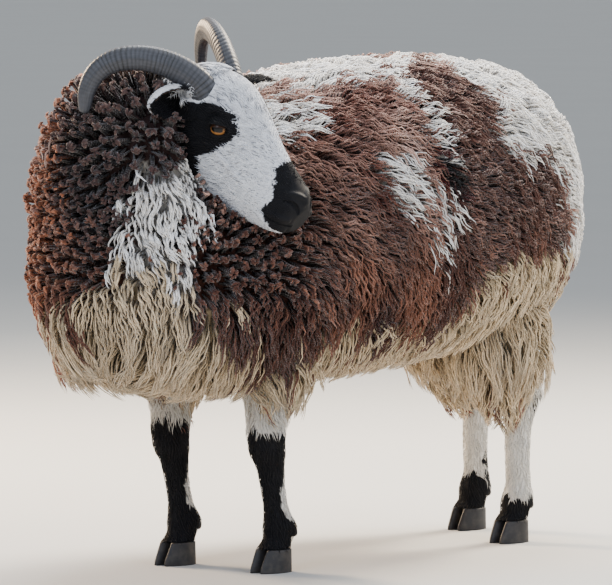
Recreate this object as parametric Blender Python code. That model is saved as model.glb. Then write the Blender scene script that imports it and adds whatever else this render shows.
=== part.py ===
"""A Jacob ewe in full fleece, standing, with her head turned to her left side.

Life size, in metres, +Z up. She faces -Y, and her left side is +X.
The origin is on the floor under the middle of her whole box.
"""

import math
import random

import bmesh
import bpy
from mathutils import Matrix, Vector

# The whole animal is laid out with her forelegs' and hind legs' midline on x = 0,
# and then moved by this much, so that the origin lies under the middle of her box.
ORIGIN_SHIFT = Vector((-0.0095, 0.0793, 0.0))
GAP = 0.0003
PARTS = "jacob sheep"
CUTTERS = "cutters"

# Fleece: how far the tips of the clumps stand over the core, and how the clumps are set.
CLUMP_RISE = 0.036
CLUMP_SPACING = 0.088
CLUMP_SPREAD = 1.12
CLUMP_SIDES = 6
CLUMP_SLIM = 0.92
# One clump's rings: height as a share of its rise, shift and radius as shares of its width.
CLUMP_RINGS = ((-0.40, -0.05, 0.46), (0.42, 0.06, 0.56), (0.85, 0.20, 0.38))
CLUMP_TIP_SHIFT = 0.30
# How much closer the clumps stand on the neck, the throat and round the legs.
NECK_CLOSER, THROAT_CLOSER, LEGS_CLOSER = 0.86, 0.92, 0.72
TAIL_CLUMP_RISE = 0.010
TAIL_CLUMP_WIDTH = 0.055
TAIL_CLUMP_ROWS = (0.18, 0.40, 0.62, 0.84)
TAIL_CLUMPS_ROUND = 3
TAIL_CLUMP_REACH = 0.008
# Where clumps cross, slivers are merged down to about so many triangles.
FLEECE_FACES = 5500
TAIL_FACES = 480

# Trunk, out to the tips of the fleece. Each row: y, half width, bottom, top.
TRUNK_ROWS = (
    (-0.535, 0.045, 0.350, 0.470),
    (-0.515, 0.115, 0.305, 0.535),
    (-0.460, 0.178, 0.270, 0.590),
    (-0.370, 0.212, 0.255, 0.620),
    (-0.250, 0.236, 0.255, 0.678),
    (-0.100, 0.252, 0.268, 0.713),
    (0.050, 0.250, 0.278, 0.724),
    (0.180, 0.232, 0.290, 0.724),
    (0.280, 0.198, 0.305, 0.704),
    (0.340, 0.145, 0.345, 0.660),
    (0.368, 0.060, 0.450, 0.570),
)
TRUNK_SQUARENESS = 2.35
NECK_SQUARENESS = 2.1
LEG_SQUARENESS = 2.15

# Neck, out to the tips of the fleece. Each row: centre, half width, half depth.
NECK_ROWS = (
    (Vector((0.000, -0.350, 0.350)), 0.200, 0.172),
    (Vector((-0.014, -0.390, 0.500)), 0.184, 0.165),
    (Vector((-0.022, -0.436, 0.565)), 0.152, 0.138),
    (Vector((-0.006, -0.456, 0.600)), 0.126, 0.118),
    (Vector((0.036, -0.461, 0.617)), 0.110, 0.104),
    (Vector((0.078, -0.455, 0.622)), 0.100, 0.094),
    (Vector((0.108, -0.450, 0.622)), 0.072, 0.068),
)

# Throat and brisket, out to the tips of the fleece. Each row: centre, radius.
THROAT_ROWS = (
    (Vector((0.074, -0.447, 0.596)), 0.074),
    (Vector((0.060, -0.440, 0.540)), 0.104),
    (Vector((0.036, -0.405, 0.450)), 0.142),
    (Vector((0.018, -0.370, 0.360)), 0.138),
)

# Head: where the poll is, which way the face points, and how it is tilted.
POLL = Vector((0.122, -0.427, 0.716))
HEAD_HEADING_DEG = 4.0
HEAD_ROLL_DEG = 9.0
HEAD_PITCH_DEG = 39.0

# Head outline. Each row: distance from the poll, top, bottom, half widths of the
# brow, the cheek and the jaw.
HEAD_ROWS = (
    (-0.032, -0.048, -0.085, 0.018, 0.020, 0.016),
    (-0.025, -0.030, -0.108, 0.036, 0.040, 0.030),
    (0.000, -0.002, -0.130, 0.048, 0.052, 0.040),
    (0.033, 0.015, -0.150, 0.051, 0.056, 0.043),
    (0.057, 0.020, -0.160, 0.053, 0.057, 0.042),
    (0.080, 0.017, -0.164, 0.052, 0.055, 0.039),
    (0.104, 0.010, -0.160, 0.043, 0.050, 0.035),
    (0.132, -0.002, -0.152, 0.034, 0.044, 0.031),
    (0.161, -0.015, -0.141, 0.028, 0.039, 0.028),
    (0.189, -0.026, -0.129, 0.027, 0.036, 0.026),
    (0.212, -0.035, -0.120, 0.028, 0.036, 0.026),
    (0.230, -0.045, -0.109, 0.025, 0.031, 0.022),
    (0.241, -0.058, -0.096, 0.014, 0.018, 0.014),
)
HEAD_SIDES = 18
HEAD_STEPS = 22
HEAD_SQUARENESS = 2.3
# How quickly the half width changes from the cheek's to the brow's and the jaw's.
HEAD_BLEND = 1.3

# Eye, measured in the head: along from the poll, up from the head's axis, out.
EYE_ALONG = 0.085
EYE_UP = -0.029
EYE_OUT = 0.0415
EYE_RADIUS = 0.0135
EYE_SLANT = math.radians(12)
EYE_OPENING = (0.0140, 0.0100, 0.0062)
LID_THICK = 0.0024
# How much further the lids reach along the slit, out of the head and up.
LID_REACH = (0.0040, 0.0, 0.0015)

# Brow, mouth and nostril lines on the side of the head: distance from the poll and height.
BROW_LINE = ((0.058, -0.020), (0.068, -0.012), (0.079, -0.008), (0.090, -0.011), (0.100, -0.018))
BROW_RADII = (0.0040, 0.0070, 0.0085, 0.0070, 0.0035)
BROW_SINK = 0.0035
MOUTH_LINE = ((0.2390, -0.082), (0.2300, -0.084), (0.2180, -0.086), (0.2050, -0.087), (0.1880, -0.086))
MOUTH_RADII = (0.0024, 0.0018, 0.0016, 0.0015, 0.0008)
NOSTRIL_LINE = ((0.2370, -0.062), (0.2350, -0.056), (0.2300, -0.052), (0.2240, -0.050), (0.2170, -0.052))
NOSTRIL_RADII = (0.0012, 0.0030, 0.0036, 0.0026, 0.0010)

# Horn: its middle line in its own upright plane, as distance out and height.
HORN_LINE = (
    (-0.014, -0.024),
    (0.000, 0.000),
    (0.024, 0.021),
    (0.051, 0.035),
    (0.081, 0.042),
    (0.111, 0.040),
    (0.136, 0.027),
    (0.152, 0.004),
    (0.160, -0.028),
)
HORN_ROOT_OUT = 0.037
HORN_ROOT_ALONG = 0.012
HORN_ROOT_UP = -0.016
HORN_PLANE_DEG = 35.0
HORN_LIFT_LEFT = 1.22
HORN_TALL = 0.0205
HORN_WIDE = 0.0145
HORN_TIP = 0.12
HORN_TAPER = 0.32
HORN_END = 0.003
HORN_RINGS = 17
HORN_RIDGE = 0.0008
HORN_SIDES = 10

# Ear: root in the head, length, and how its cup is made.
EAR_ALONG = 0.020
EAR_UP = -0.034
EAR_OUT = 0.044
EAR_LENGTH = 0.088
EAR_THICK = 0.0045
EAR_SINK = 0.012
EAR_BACK_BEND = 0.10
# By side, with 1 for her right: half the ear's width, which way it points and which way
# its cup opens, as shares out, ahead and up. The left ear is folded back.
EAR_WIDTH = {1: 0.0225, -1: 0.0140}
EAR_AIM = {1: (0.93, 0.08, 0.0), -1: (0.93, 0.30, -0.09)}
EAR_FACING = {1: (0.10, 0.80, -0.45), -1: (0.10, 0.30, -0.92)}
EAR_CURL_ROOT_DEG = 118.0
EAR_CURL_TIP_DEG = 72.0
EAR_STEPS, EAR_ARC = 6, 5

# Legs. Each row: height, forward shift of the middle line, half width, half depth.
FORELEG_ROWS = (
    (0.345, 0.030, 0.030, 0.036),
    (0.280, 0.030, 0.027, 0.032),
    (0.228, 0.028, 0.0225, 0.0255),
    (0.195, 0.029, 0.0235, 0.0250),
    (0.172, 0.027, 0.0230, 0.0245),
    (0.150, 0.021, 0.0180, 0.0190),
    (0.120, 0.015, 0.0150, 0.0165),
    (0.088, 0.008, 0.0152, 0.0172),
    (0.064, 0.001, 0.0200, 0.0235),
    (0.046, 0.006, 0.0190, 0.0195),
    (0.033, 0.014, 0.0215, 0.0215),
)
HINDLEG_ROWS = (
    (0.365, 0.075, 0.034, 0.044),
    (0.300, 0.040, 0.028, 0.036),
    (0.252, 0.008, 0.0215, 0.031),
    (0.226, -0.007, 0.0205, 0.0280),
    (0.195, -0.005, 0.0185, 0.0225),
    (0.160, -0.001, 0.0165, 0.0190),
    (0.120, 0.000, 0.0155, 0.0178),
    (0.088, -0.002, 0.0160, 0.0180),
    (0.064, 0.000, 0.0205, 0.0235),
    (0.046, 0.006, 0.0190, 0.0195),
    (0.033, 0.014, 0.0215, 0.0215),
)
LEG_SIDES = 10
LEG_STEPS = 16
DEWCLAW_OUT, DEWCLAW_BEHIND, DEWCLAW_HEIGHT = 0.010, 0.020, 0.056
DEWCLAW_RADIUS = 0.0075
FEET = {
    "foreleg_left": Vector((0.091, -0.244, 0.0)),
    "foreleg_right": Vector((-0.075, -0.266, 0.0)),
    "hindleg_left": Vector((0.090, 0.275, 0.0)),
    "hindleg_right": Vector((-0.074, 0.370, 0.0)),
}

# Hooves: two claws under each leg.
HOOF_HEIGHT = 0.0325
CLAW_LENGTH = 0.058
CLAW_WIDTH = 0.0225
CLAW_APART = 0.0015
CLAW_SPREAD_DEG = 5.0
CLAW_FORWARD = 0.021
CLAW_POINTED = 0.34
CLAW_SIDES = 10
# Each level of a claw: height, and how large its outline is there.
CLAW_LEVELS = ((0.0, 1.0), (0.008, 0.97), (0.020, 0.86), (HOOF_HEIGHT, 0.74))

# Wool round the tops of the legs: half width, half depth, lowest point, and how far
# before the foot its top and its bottom are.
FORE_BREECHES = (0.062, 0.068, 0.238, 0.020, 0.020)
HIND_BREECHES = (0.070, 0.076, 0.212, 0.085, 0.034)
BREECHES_TOP = 0.42
BREECHES_SCALES = (0.9, 1.05, 1.05, 0.95, 0.55)

# Tail: top, bottom, half width and half depth, out to the tips of its wool.
TAIL_TOP = Vector((0.0, 0.335, 0.615))
TAIL_BOTTOM = Vector((0.0, 0.385, 0.385))
TAIL_HALF_WIDTH = 0.040
TAIL_HALF_DEPTH = 0.030
TAIL_SCALES = (0.62, 0.95, 1.0, 0.92, 0.55)

# Where the fleece is parted into nodes.
NECK_CUT_POINT = Vector((0.0, -0.25, 0.725))
NECK_CUT_NORMAL = Vector((0.0, -0.58, 0.81))
SHOULDER_CUT_Y = -0.135
RUMP_CUT_Y = 0.120
THIGH_CUT_POINT = Vector((0.028, 0.0, 0.300))
THIGH_CUT_NORMAL = Vector((0.62, 0.0, -0.785))

DOWN = Vector((0.0, 0.0, -1.0))
BACK = Vector((0.0, 1.0, 0.0))


def clear_scene():
    """Removes every object that the file starts with, and adds the part's own collections."""
    for obj in list(bpy.data.objects):
        bpy.data.objects.remove(obj)
    for name in (PARTS, CUTTERS):
        bpy.context.scene.collection.children.link(bpy.data.collections.new(name))


def move_to(obj, name):
    """Puts an object in one collection alone."""
    for held in list(obj.users_collection):
        held.objects.unlink(obj)
    bpy.data.collections[name].objects.link(obj)


def make_material(name, colour, roughness):
    """A plain finish for one kind of part."""
    material = bpy.data.materials.new(name)
    material.use_nodes = True
    shader = material.node_tree.nodes["Principled BSDF"]
    shader.inputs["Base Color"].default_value = (*colour, 1.0)
    shader.inputs["Roughness"].default_value = roughness
    return material


def catmull(values, t):
    """The smooth curve through values, which may be numbers or vectors, at t from 0 to 1."""
    span = t * (len(values) - 1)
    i = min(int(span), len(values) - 2)
    f = span - i
    before = values[i - 1] if i > 0 else values[i] * 2 - values[i + 1]
    after = values[i + 2] if i + 2 < len(values) else values[i + 1] * 2 - values[i]
    a, b = values[i], values[i + 1]
    return 0.5 * (
        2 * a
        + (b - before) * f
        + (2 * before - 5 * a + 4 * b - after) * f**2
        + (3 * a - before - 3 * b + after) * f**3
    )


def column(rows, index):
    """One column of a table of rows."""
    return [row[index] for row in rows]


def rounded(value, squareness):
    """A cosine or sine bent from a circle's towards a square's."""
    return math.copysign(abs(value) ** (2 / squareness), value)


class Loft:
    """A tube of oval sections along a smooth middle line."""

    def __init__(self, centres, sides, ups, squareness=2.0):
        self.centres, self.sides, self.ups = centres, sides, ups
        self.squareness = squareness

    def point(self, t, angle, grow=0.0):
        """A point of the surface, with every half axis made longer by grow."""
        side, up = catmull(self.sides, t), catmull(self.ups, t)
        side *= max(0.002, side.length + grow) / side.length
        up *= max(0.002, up.length + grow) / up.length
        return (
            catmull(self.centres, t)
            + side * rounded(math.cos(angle), self.squareness)
            + up * rounded(math.sin(angle), self.squareness)
        )

    def normal(self, t, angle, grow=0.0):
        """The outward normal of the surface, from points close by."""
        step = 0.01
        low, high = max(0.0, t - step), min(1.0, t + step)
        along = self.point(high, angle, grow) - self.point(low, angle, grow)
        around = self.point(t, angle + step, grow) - self.point(t, angle - step, grow)
        outward = around.cross(along).normalized()
        away = self.point(t, angle, grow) - catmull(self.centres, t)
        return outward if outward.dot(away) > 0 else -outward

    def ring(self, t, count, grow=0.0):
        """One section, as points evenly spaced in angle."""
        return [self.point(t, math.tau * i / count, grow) for i in range(count)]

    def rings(self, steps, count, grow=0.0):
        """Every section of the tube."""
        return [self.ring(i / steps, count, grow) for i in range(steps + 1)]


def mesh_object(name, rings, tips=(None, None)):
    """A closed object through rings of points, with a flat cap or a tip point at each end."""
    mesh = bmesh.new()
    rows = [[mesh.verts.new(p) for p in ring] for ring in rings]
    count = len(rows[0])
    for low, high in zip(rows, rows[1:]):
        for i in range(count):
            j = (i + 1) % count
            mesh.faces.new((low[i], low[j], high[j], high[i]))
    for row, tip in zip((rows[0], rows[-1]), tips):
        if tip is None:
            mesh.faces.new(row)
            continue
        point = mesh.verts.new(tip)
        for i in range(count):
            mesh.faces.new((row[i], row[(i + 1) % count], point))
    bmesh.ops.recalc_face_normals(mesh, faces=mesh.faces)
    bmesh.ops.triangulate(mesh, faces=mesh.faces)
    data = bpy.data.meshes.new(name)
    mesh.to_mesh(data)
    mesh.free()
    obj = bpy.data.objects.new(name, data)
    bpy.context.scene.collection.objects.link(obj)
    return obj


def apply_modifiers(obj):
    """Makes the object's modifiers part of its mesh."""
    graph = bpy.context.evaluated_depsgraph_get()
    old = obj.data
    obj.data = bpy.data.meshes.new_from_object(obj.evaluated_get(graph))
    obj.modifiers.clear()
    bpy.data.meshes.remove(old)


def boolean(obj, others, operation):
    """Joins others to obj, or cuts them from it, and removes them.

    MANIFOLD does it, because EXACT is slow on hundreds of clumps at once.
    """
    for other in others:
        move_to(other, CUTTERS)
    modifier = obj.modifiers.new("Join", "BOOLEAN")
    modifier.operation = operation
    modifier.operand_type = "COLLECTION"
    modifier.collection = bpy.data.collections[CUTTERS]
    modifier.solver = "MANIFOLD"
    bpy.context.view_layer.update()
    apply_modifiers(obj)
    for other in others:
        bpy.data.objects.remove(other)
    return obj


def thinned(obj, faces):
    """Merges the slivers where clumps cross, down to about so many faces."""
    modifier = obj.modifiers.new("Thin", "DECIMATE")
    obj.data.calc_loop_triangles()
    modifier.ratio = faces / len(obj.data.loop_triangles)
    modifier.use_collapse_triangulate = True
    apply_modifiers(obj)
    return obj


def copy_of(obj, name):
    """A second object with a mesh of its own."""
    twin = obj.copy()
    twin.name = name
    twin.data = obj.data.copy()
    bpy.context.scene.collection.objects.link(twin)
    return twin


def keep_largest(obj):
    """Leaves only the object's largest closed surface."""
    mesh = bmesh.new()
    mesh.from_mesh(obj.data)
    left, pieces = set(mesh.verts), []
    while left:
        piece, edge = set(), [left.pop()]
        while edge:
            vert = edge.pop()
            piece.add(vert)
            for link in vert.link_edges:
                other = link.other_vert(vert)
                if other in left:
                    left.discard(other)
                    edge.append(other)
        pieces.append(piece)
    pieces.sort(key=lambda piece: spread(piece), reverse=True)
    loose = [vert for piece in pieces[1:] for vert in piece]
    bmesh.ops.delete(mesh, geom=loose, context="VERTS")
    mesh.to_mesh(obj.data)
    mesh.free()
    return obj


def spread(verts):
    """The size of the box round some vertices."""
    low = [min(vert.co[k] for vert in verts) for k in range(3)]
    high = [max(vert.co[k] for vert in verts) for k in range(3)]
    return math.prod(max(b - a, 1e-6) for a, b in zip(low, high))


def half_space(point, normal, reach=2.0):
    """A big box on the side of a plane that normal points to."""
    bpy.ops.mesh.primitive_cube_add(size=2 * reach)
    box = bpy.context.active_object
    turn = normal.normalized().to_track_quat("Z", "Y").to_matrix().to_4x4()
    place = Matrix.Translation(point) @ turn @ Matrix.Translation((0, 0, reach))
    box.data.transform(place)
    return box


def parted(obj, point, normal, name):
    """Cuts obj in two with a thin cut: the side that normal points to is a new object."""
    normal = normal.normalized()
    piece = copy_of(obj, name)
    boolean(piece, [half_space(point + normal * GAP / 2, normal)], "INTERSECT")
    boolean(obj, [half_space(point - normal * GAP / 2, -normal)], "INTERSECT")
    return piece


def sphere(name, centre, radius, segments=14, rings=8):
    """A ball."""
    bpy.ops.mesh.primitive_uv_sphere_add(
        segments=segments, ring_count=rings, radius=radius
    )
    ball = bpy.context.active_object
    ball.name = name
    ball.data.transform(Matrix.Translation(centre))
    return ball


def trunk_loft():
    """The barrel, shoulders and rump, out to the tips of the fleece."""
    centres = [Vector((0, y, (low + high) / 2)) for y, _, low, high in TRUNK_ROWS]
    sides = [Vector((half, 0, 0)) for half in column(TRUNK_ROWS, 1)]
    ups = [Vector((0, 0, (high - low) / 2)) for _, _, low, high in TRUNK_ROWS]
    return Loft(centres, sides, ups, TRUNK_SQUARENESS)


def neck_loft():
    """The neck, from inside the chest to inside the back of the head."""
    centres = column(NECK_ROWS, 0)
    sides, ups = [], []
    for i, (centre, half_width, half_depth) in enumerate(NECK_ROWS):
        ahead = centres[min(i + 1, len(centres) - 1)] - centres[max(i - 1, 0)]
        across = ahead.cross(Vector((0, -1, 0.35))).normalized()
        sides.append(across * half_width)
        ups.append(ahead.cross(across).normalized() * half_depth)
    return Loft(centres, sides, ups, NECK_SQUARENESS)


def throat_loft():
    """The wool of the throat, from under the jaw down to the brisket."""
    centres = column(THROAT_ROWS, 0)
    sides, ups = [], []
    for i, (centre, radius) in enumerate(THROAT_ROWS):
        ahead = centres[min(i + 1, len(centres) - 1)] - centres[max(i - 1, 0)]
        across = ahead.cross(Vector((0, -1, 0))).normalized()
        sides.append(across * radius)
        ups.append(ahead.cross(across).normalized() * radius)
    return Loft(centres, sides, ups)


def breeches_loft(name):
    """The wool that hangs round the top of one leg, from inside the trunk."""
    foot = FEET[name]
    half_width, half_depth, bottom, top_forward, low_forward = (
        FORE_BREECHES if name.startswith("fore") else HIND_BREECHES
    )
    top = Vector((foot.x * 1.15, foot.y - top_forward, BREECHES_TOP))
    low = Vector((foot.x, foot.y - low_forward, bottom))
    steps = len(BREECHES_SCALES) - 1
    return Loft(
        [top.lerp(low, i / steps) for i in range(steps + 1)],
        [Vector((half_width * scale, 0, 0)) for scale in BREECHES_SCALES],
        [Vector((0, half_depth * scale, 0)) for scale in BREECHES_SCALES],
    )


def head_frame():
    """The head's own axes: along the face, out to her right, and up from the brow."""
    heading = math.radians(HEAD_HEADING_DEG)
    forward = Vector((math.cos(heading), math.sin(heading), 0))
    right = Vector((math.sin(heading), -math.cos(heading), 0))
    up = Vector((0, 0, 1))
    roll = Matrix.Rotation(math.radians(HEAD_ROLL_DEG), 3, forward)
    right, up = roll @ right, roll @ up
    pitch = math.radians(HEAD_PITCH_DEG)
    along = forward * math.cos(pitch) - up * math.sin(pitch)
    dorsal = forward * math.sin(pitch) + up * math.cos(pitch)
    return along, right, dorsal, forward, up


def in_head(along, out, up, side=1):
    """A place given in the head's own axes. Side is 1 for her right and -1 for her left."""
    a, r, d, _, _ = head_frame()
    return POLL + a * along + r * (out * side) + d * up


def head_rings(grow=0.0, steps=HEAD_STEPS, count=HEAD_SIDES):
    """Sections across the head: wide at the brow and cheek, narrow at the jaw."""
    rings = []
    for step in range(steps + 1):
        t = step / steps
        along, top, bottom, brow, cheek, jaw = (
            catmull(column(HEAD_ROWS, k), t) for k in range(6)
        )
        ring = []
        for i in range(count):
            angle = math.tau * i / count
            height = math.sin(angle)
            upper, lower = max(height, 0.0), max(-height, 0.0)
            half = cheek + (brow - cheek) * upper**HEAD_BLEND + (jaw - cheek) * lower**HEAD_BLEND
            middle, reach = (top + bottom) / 2, (top - bottom) / 2
            ring.append(
                in_head(
                    along,
                    (half + grow) * rounded(math.cos(angle), HEAD_SQUARENESS),
                    middle + (reach + grow) * rounded(height, HEAD_SQUARENESS),
                )
            )
        rings.append(ring)
    return rings


def tube(name, points, radii, count=8):
    """A tapering round tube through points."""
    rings = []
    for i, (point, radius) in enumerate(zip(points, radii)):
        ahead = points[min(i + 1, len(points) - 1)] - points[max(i - 1, 0)]
        side = ahead.cross(Vector((0.31, 0.17, 0.94))).normalized()
        up = ahead.cross(side).normalized()
        rings.append(
            [
                point
                + side * (radius * math.cos(math.tau * k / count))
                + up * (radius * math.sin(math.tau * k / count))
                for k in range(count)
            ]
        )
    return mesh_object(name, rings)


def head_row(along):
    """Top, bottom, and half widths of brow, cheek and jaw at one distance from the poll."""
    alongs = column(HEAD_ROWS, 0)
    low, high = 0.0, 1.0
    for _ in range(24):
        middle = (low + high) / 2
        if catmull(alongs, middle) < along:
            low = middle
        else:
            high = middle
    return tuple(catmull(column(HEAD_ROWS, k), low) for k in range(1, 6))


def on_side(along, up, sink=0.0):
    """A place on the side of the head, in the head's own axes, sunk inwards by sink."""
    top, bottom, brow, cheek, jaw = head_row(along)
    share = (up - (top + bottom) / 2) / ((top - bottom) / 2)
    share = max(-0.999, min(0.999, share))
    height = math.copysign(abs(share) ** (HEAD_SQUARENESS / 2), share)
    upper, lower = max(height, 0.0), max(-height, 0.0)
    half = cheek + (brow - cheek) * upper**HEAD_BLEND + (jaw - cheek) * lower**HEAD_BLEND
    return along, half * rounded(math.sqrt(1 - height**2), HEAD_SQUARENESS) - sink, up


def on_head(places, side, sink=0.0):
    """Points in space on one side of the head, from rows of distance and height."""
    return [in_head(*on_side(along, up, sink), side) for along, up in places]


def mouth_cutter(side):
    """The line of the mouth on one side, from the front of the lips back to the corner."""
    return tube("mouth", on_head(MOUTH_LINE, side), MOUTH_RADII, 6)


def nostril_cutter(side):
    """A slanting slit at the front of the muzzle."""
    return tube("nostril", on_head(NOSTRIL_LINE, side), NOSTRIL_RADII, 6)


def brow_bone(side):
    """The ridge of bone over one eye."""
    return tube("brow", on_head(BROW_LINE, side, BROW_SINK), BROW_RADII)


def stretched_ball(name, centre, axes, radii, segments=14, rings=8):
    """A ball stretched along three axes."""
    ball = sphere(name, Vector(), 1.0, segments, rings)
    turn = Matrix([axis * radius for axis, radius in zip(axes, radii)]).transposed()
    ball.data.transform(Matrix.Translation(centre) @ turn.to_4x4())
    return ball


def eye_axes(side):
    """Directions at one eye: along the slit between the lids, out of the head, and up."""
    along, right, dorsal, _, _ = head_frame()
    slit = (along * math.cos(EYE_SLANT) - dorsal * math.sin(EYE_SLANT)).normalized()
    out = (right * side * 0.94 + along * 0.30 + dorsal * 0.10).normalized()
    slit = (slit - out * slit.dot(out)).normalized()
    return slit, out, slit.cross(out)


def make_head():
    """The head, with lids, nostrils and the line of the mouth, and sockets for the eyes."""
    rings = head_rings()
    head = mesh_object("head", rings[1:-1], tips=(centre_of(rings[0]), centre_of(rings[-1])))
    added, cutters = [], []
    for side in (1, -1):
        slit, out, up = eye_axes(side)
        centre = in_head(EYE_ALONG, EYE_OUT, EYE_UP, side)
        lids = [EYE_RADIUS + LID_THICK + more for more in LID_REACH]
        added.append(stretched_ball("lids", centre, (slit, out, up), lids))
        added.append(brow_bone(side))
        opening = stretched_ball(
            "opening", centre + out * EYE_RADIUS, (slit, out, up), EYE_OPENING
        )
        socket = sphere("socket", centre, EYE_RADIUS + GAP)
        cutters += [opening, socket, mouth_cutter(side), nostril_cutter(side)]
    boolean(head, added, "UNION")
    boolean(head, cutters, "DIFFERENCE")
    return keep_largest(head)


def centre_of(points):
    """The mean of some points."""
    return sum(points, Vector()) / len(points)


def make_eye(name, side):
    """One eyeball."""
    centre = in_head(EYE_ALONG, EYE_OUT, EYE_UP, side)
    return sphere(name, centre, EYE_RADIUS)


def horn_points(side, steps):
    """The horn's middle line in space, with its plane's directions."""
    _, right, _, forward, up = head_frame()
    plane = math.radians(HORN_PLANE_DEG)
    outward = -forward * math.cos(plane) + right * side * math.sin(plane)
    root = (
        POLL
        + forward * HORN_ROOT_ALONG
        + right * side * HORN_ROOT_OUT
        + up * HORN_ROOT_UP
    )
    line = [Vector(p) for p in HORN_LINE]
    points = []
    for i in range(steps + 1):
        p = catmull(line, i / steps)
        lift = HORN_LIFT_LEFT if side < 0 and p.y > 0 else 1.0
        points.append(root + outward * p.x + up * (p.y * lift))
    across = outward.cross(up).normalized()
    return points, across


def make_horn(name, side, grow=0.0, ridge=HORN_RIDGE, rings=HORN_RINGS):
    """One ridged horn, oval in section, that sweeps up, out and down to a blunt tip."""
    steps = rings * 2
    points, across = horn_points(side, steps)
    sections = []
    for i, point in enumerate(points):
        t = i / steps
        ahead = points[min(i + 1, steps)] - points[max(i - 1, 0)]
        upright = ahead.cross(across).normalized()
        taper = (1 - t) ** HORN_TAPER * (1 - HORN_TIP) + HORN_TIP
        bump = ridge * (1 if i % 2 else -1) * min(1.0, 4 * (1 - t))
        tall = HORN_TALL * taper + bump + grow
        wide = HORN_WIDE * taper + bump + grow
        sections.append(
            [
                point
                + upright * (tall * math.cos(math.tau * k / HORN_SIDES))
                + across * (wide * math.sin(math.tau * k / HORN_SIDES))
                for k in range(HORN_SIDES)
            ]
        )
    end = points[-1] + (points[-1] - points[-2]).normalized() * (HORN_END + grow)
    start = centre_of(sections[0])
    return mesh_object(name, sections, tips=(start, end))


def ear_axes(side):
    """Directions of one ear: along its length, out of its cup, and across it."""
    _, right, _, forward, up = head_frame()
    out, ahead, lift = EAR_AIM[side]
    length = (right * side * out + forward * ahead + up * lift).normalized()
    out, ahead, lift = EAR_FACING[side]
    facing = (right * side * out + forward * ahead + up * lift).normalized()
    facing = (facing - length * facing.dot(length)).normalized()
    return length, facing, length.cross(facing).normalized()


def make_ear(name, side, grow=0.0, filled=False):
    """One ear: a leaf rolled into a cup that opens forwards. Filled, it is its keep-out."""
    length, facing, across = ear_axes(side)
    root = in_head(EAR_ALONG, EAR_OUT - EAR_SINK, EAR_UP, side)
    rings = []
    for i in range(EAR_STEPS + 1):
        t = i / EAR_STEPS
        width = EAR_WIDTH[side] * (0.50 + 0.62 * math.sin(math.pi * min(1.0, t * 1.02 + 0.06)) ** 0.9)
        width *= 1.0 if t < 0.75 else math.sqrt(max(0.02, 1 - ((t - 0.75) / 0.262) ** 2))
        curl = math.radians(EAR_CURL_ROOT_DEG + (EAR_CURL_TIP_DEG - EAR_CURL_ROOT_DEG) * t)
        centre = root + length * (EAR_LENGTH * t + 2 * grow * (2 * t - 1))
        centre -= facing * (EAR_BACK_BEND * EAR_LENGTH * t * t)
        outer, inner = [], []
        for k in range(EAR_ARC + 1):
            angle = curl * (2 * k / EAR_ARC - 1)
            out = -facing * math.cos(angle) + across * math.sin(angle)
            thick = EAR_THICK * (0.35 + 0.65 * math.cos(math.pi * (k / EAR_ARC - 0.5)))
            outer.append(centre + out * (width + grow))
            inner.append(centre + out * (width - thick))
        front = centre + facing * (0.004 - math.cos(curl) * width)
        rings.append(outer + [front] if filled else outer + inner[::-1])
    return mesh_object(name, rings)


def leg_loft(foot, rows):
    """One leg, from inside the fleece down to the top of the hoof."""
    centres = [Vector((foot.x, foot.y - shift, z)) for z, shift, _, _ in rows]
    sides = [Vector((half, 0, 0)) for half in column(rows, 2)]
    ups = [Vector((0, half, 0)) for half in column(rows, 3)]
    return Loft(centres, sides, ups, LEG_SQUARENESS)


def bare_leg(name, foot, rows, grow=0.0):
    """One leg without its dewclaws."""
    return mesh_object(name, leg_loft(foot, rows).rings(LEG_STEPS, LEG_SIDES, grow))


def make_leg(name, foot, rows):
    """One leg with its two dewclaws."""
    claws = []
    for side in (-1, 1):
        behind = Vector((side * DEWCLAW_OUT, DEWCLAW_BEHIND, DEWCLAW_HEIGHT))
        claws.append(sphere("dewclaw", foot + behind, DEWCLAW_RADIUS, 6, 4))
    return boolean(bare_leg(name, foot, rows), claws, "UNION")


def make_claw(name, foot, side):
    """One claw of a cloven hoof: round at the heel, pointed at the toe, flat below."""
    turn = Matrix.Rotation(math.radians(-CLAW_SPREAD_DEG * side), 3, "Z")
    rings = []
    for height, scale in CLAW_LEVELS:
        ring = []
        slope = (1 - scale) * CLAW_LENGTH
        for k in range(CLAW_SIDES):
            angle = math.tau * k / CLAW_SIDES
            toe = math.sin(angle)
            width = CLAW_WIDTH / 2 * math.cos(angle) * (1 - CLAW_POINTED * max(0.0, toe))
            length = CLAW_LENGTH / 2 * toe * scale
            point = Vector((width * (0.9 + 0.1 * scale), -length + slope * 0.42, 0))
            point = turn @ (point + Vector((side * (CLAW_WIDTH / 2 + CLAW_APART / 2), 0, 0)))
            ring.append(Vector((foot.x, foot.y - CLAW_FORWARD, height)) + point)
        rings.append(ring)
    return mesh_object(name, rings)


def clump(root, normal, lie, width, rise, dice):
    """One rounded clump of wool, rooted in the core and leaning along the lie of the coat."""
    across = normal.cross(lie).normalized()
    lean = (lie + across * dice.uniform(-0.35, 0.35)).normalized()
    across = normal.cross(lean).normalized()
    size = width * dice.uniform(0.90, 1.10)
    turn = dice.uniform(0, math.tau / CLUMP_SIDES)
    rings = []
    for height, shift, radius in CLUMP_RINGS:
        place = root + normal * (rise * height) + lean * (size * shift)
        rings.append(
            [
                place
                + lean * (size * radius * math.cos(turn + math.tau * k / CLUMP_SIDES))
                + across * (size * radius * CLUMP_SLIM * math.sin(turn + math.tau * k / CLUMP_SIDES))
                for k in range(CLUMP_SIDES)
            ]
        )
    tip = root + normal * rise + lean * (size * CLUMP_TIP_SHIFT)
    return mesh_object("clump", rings, tips=(None, tip))


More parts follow.
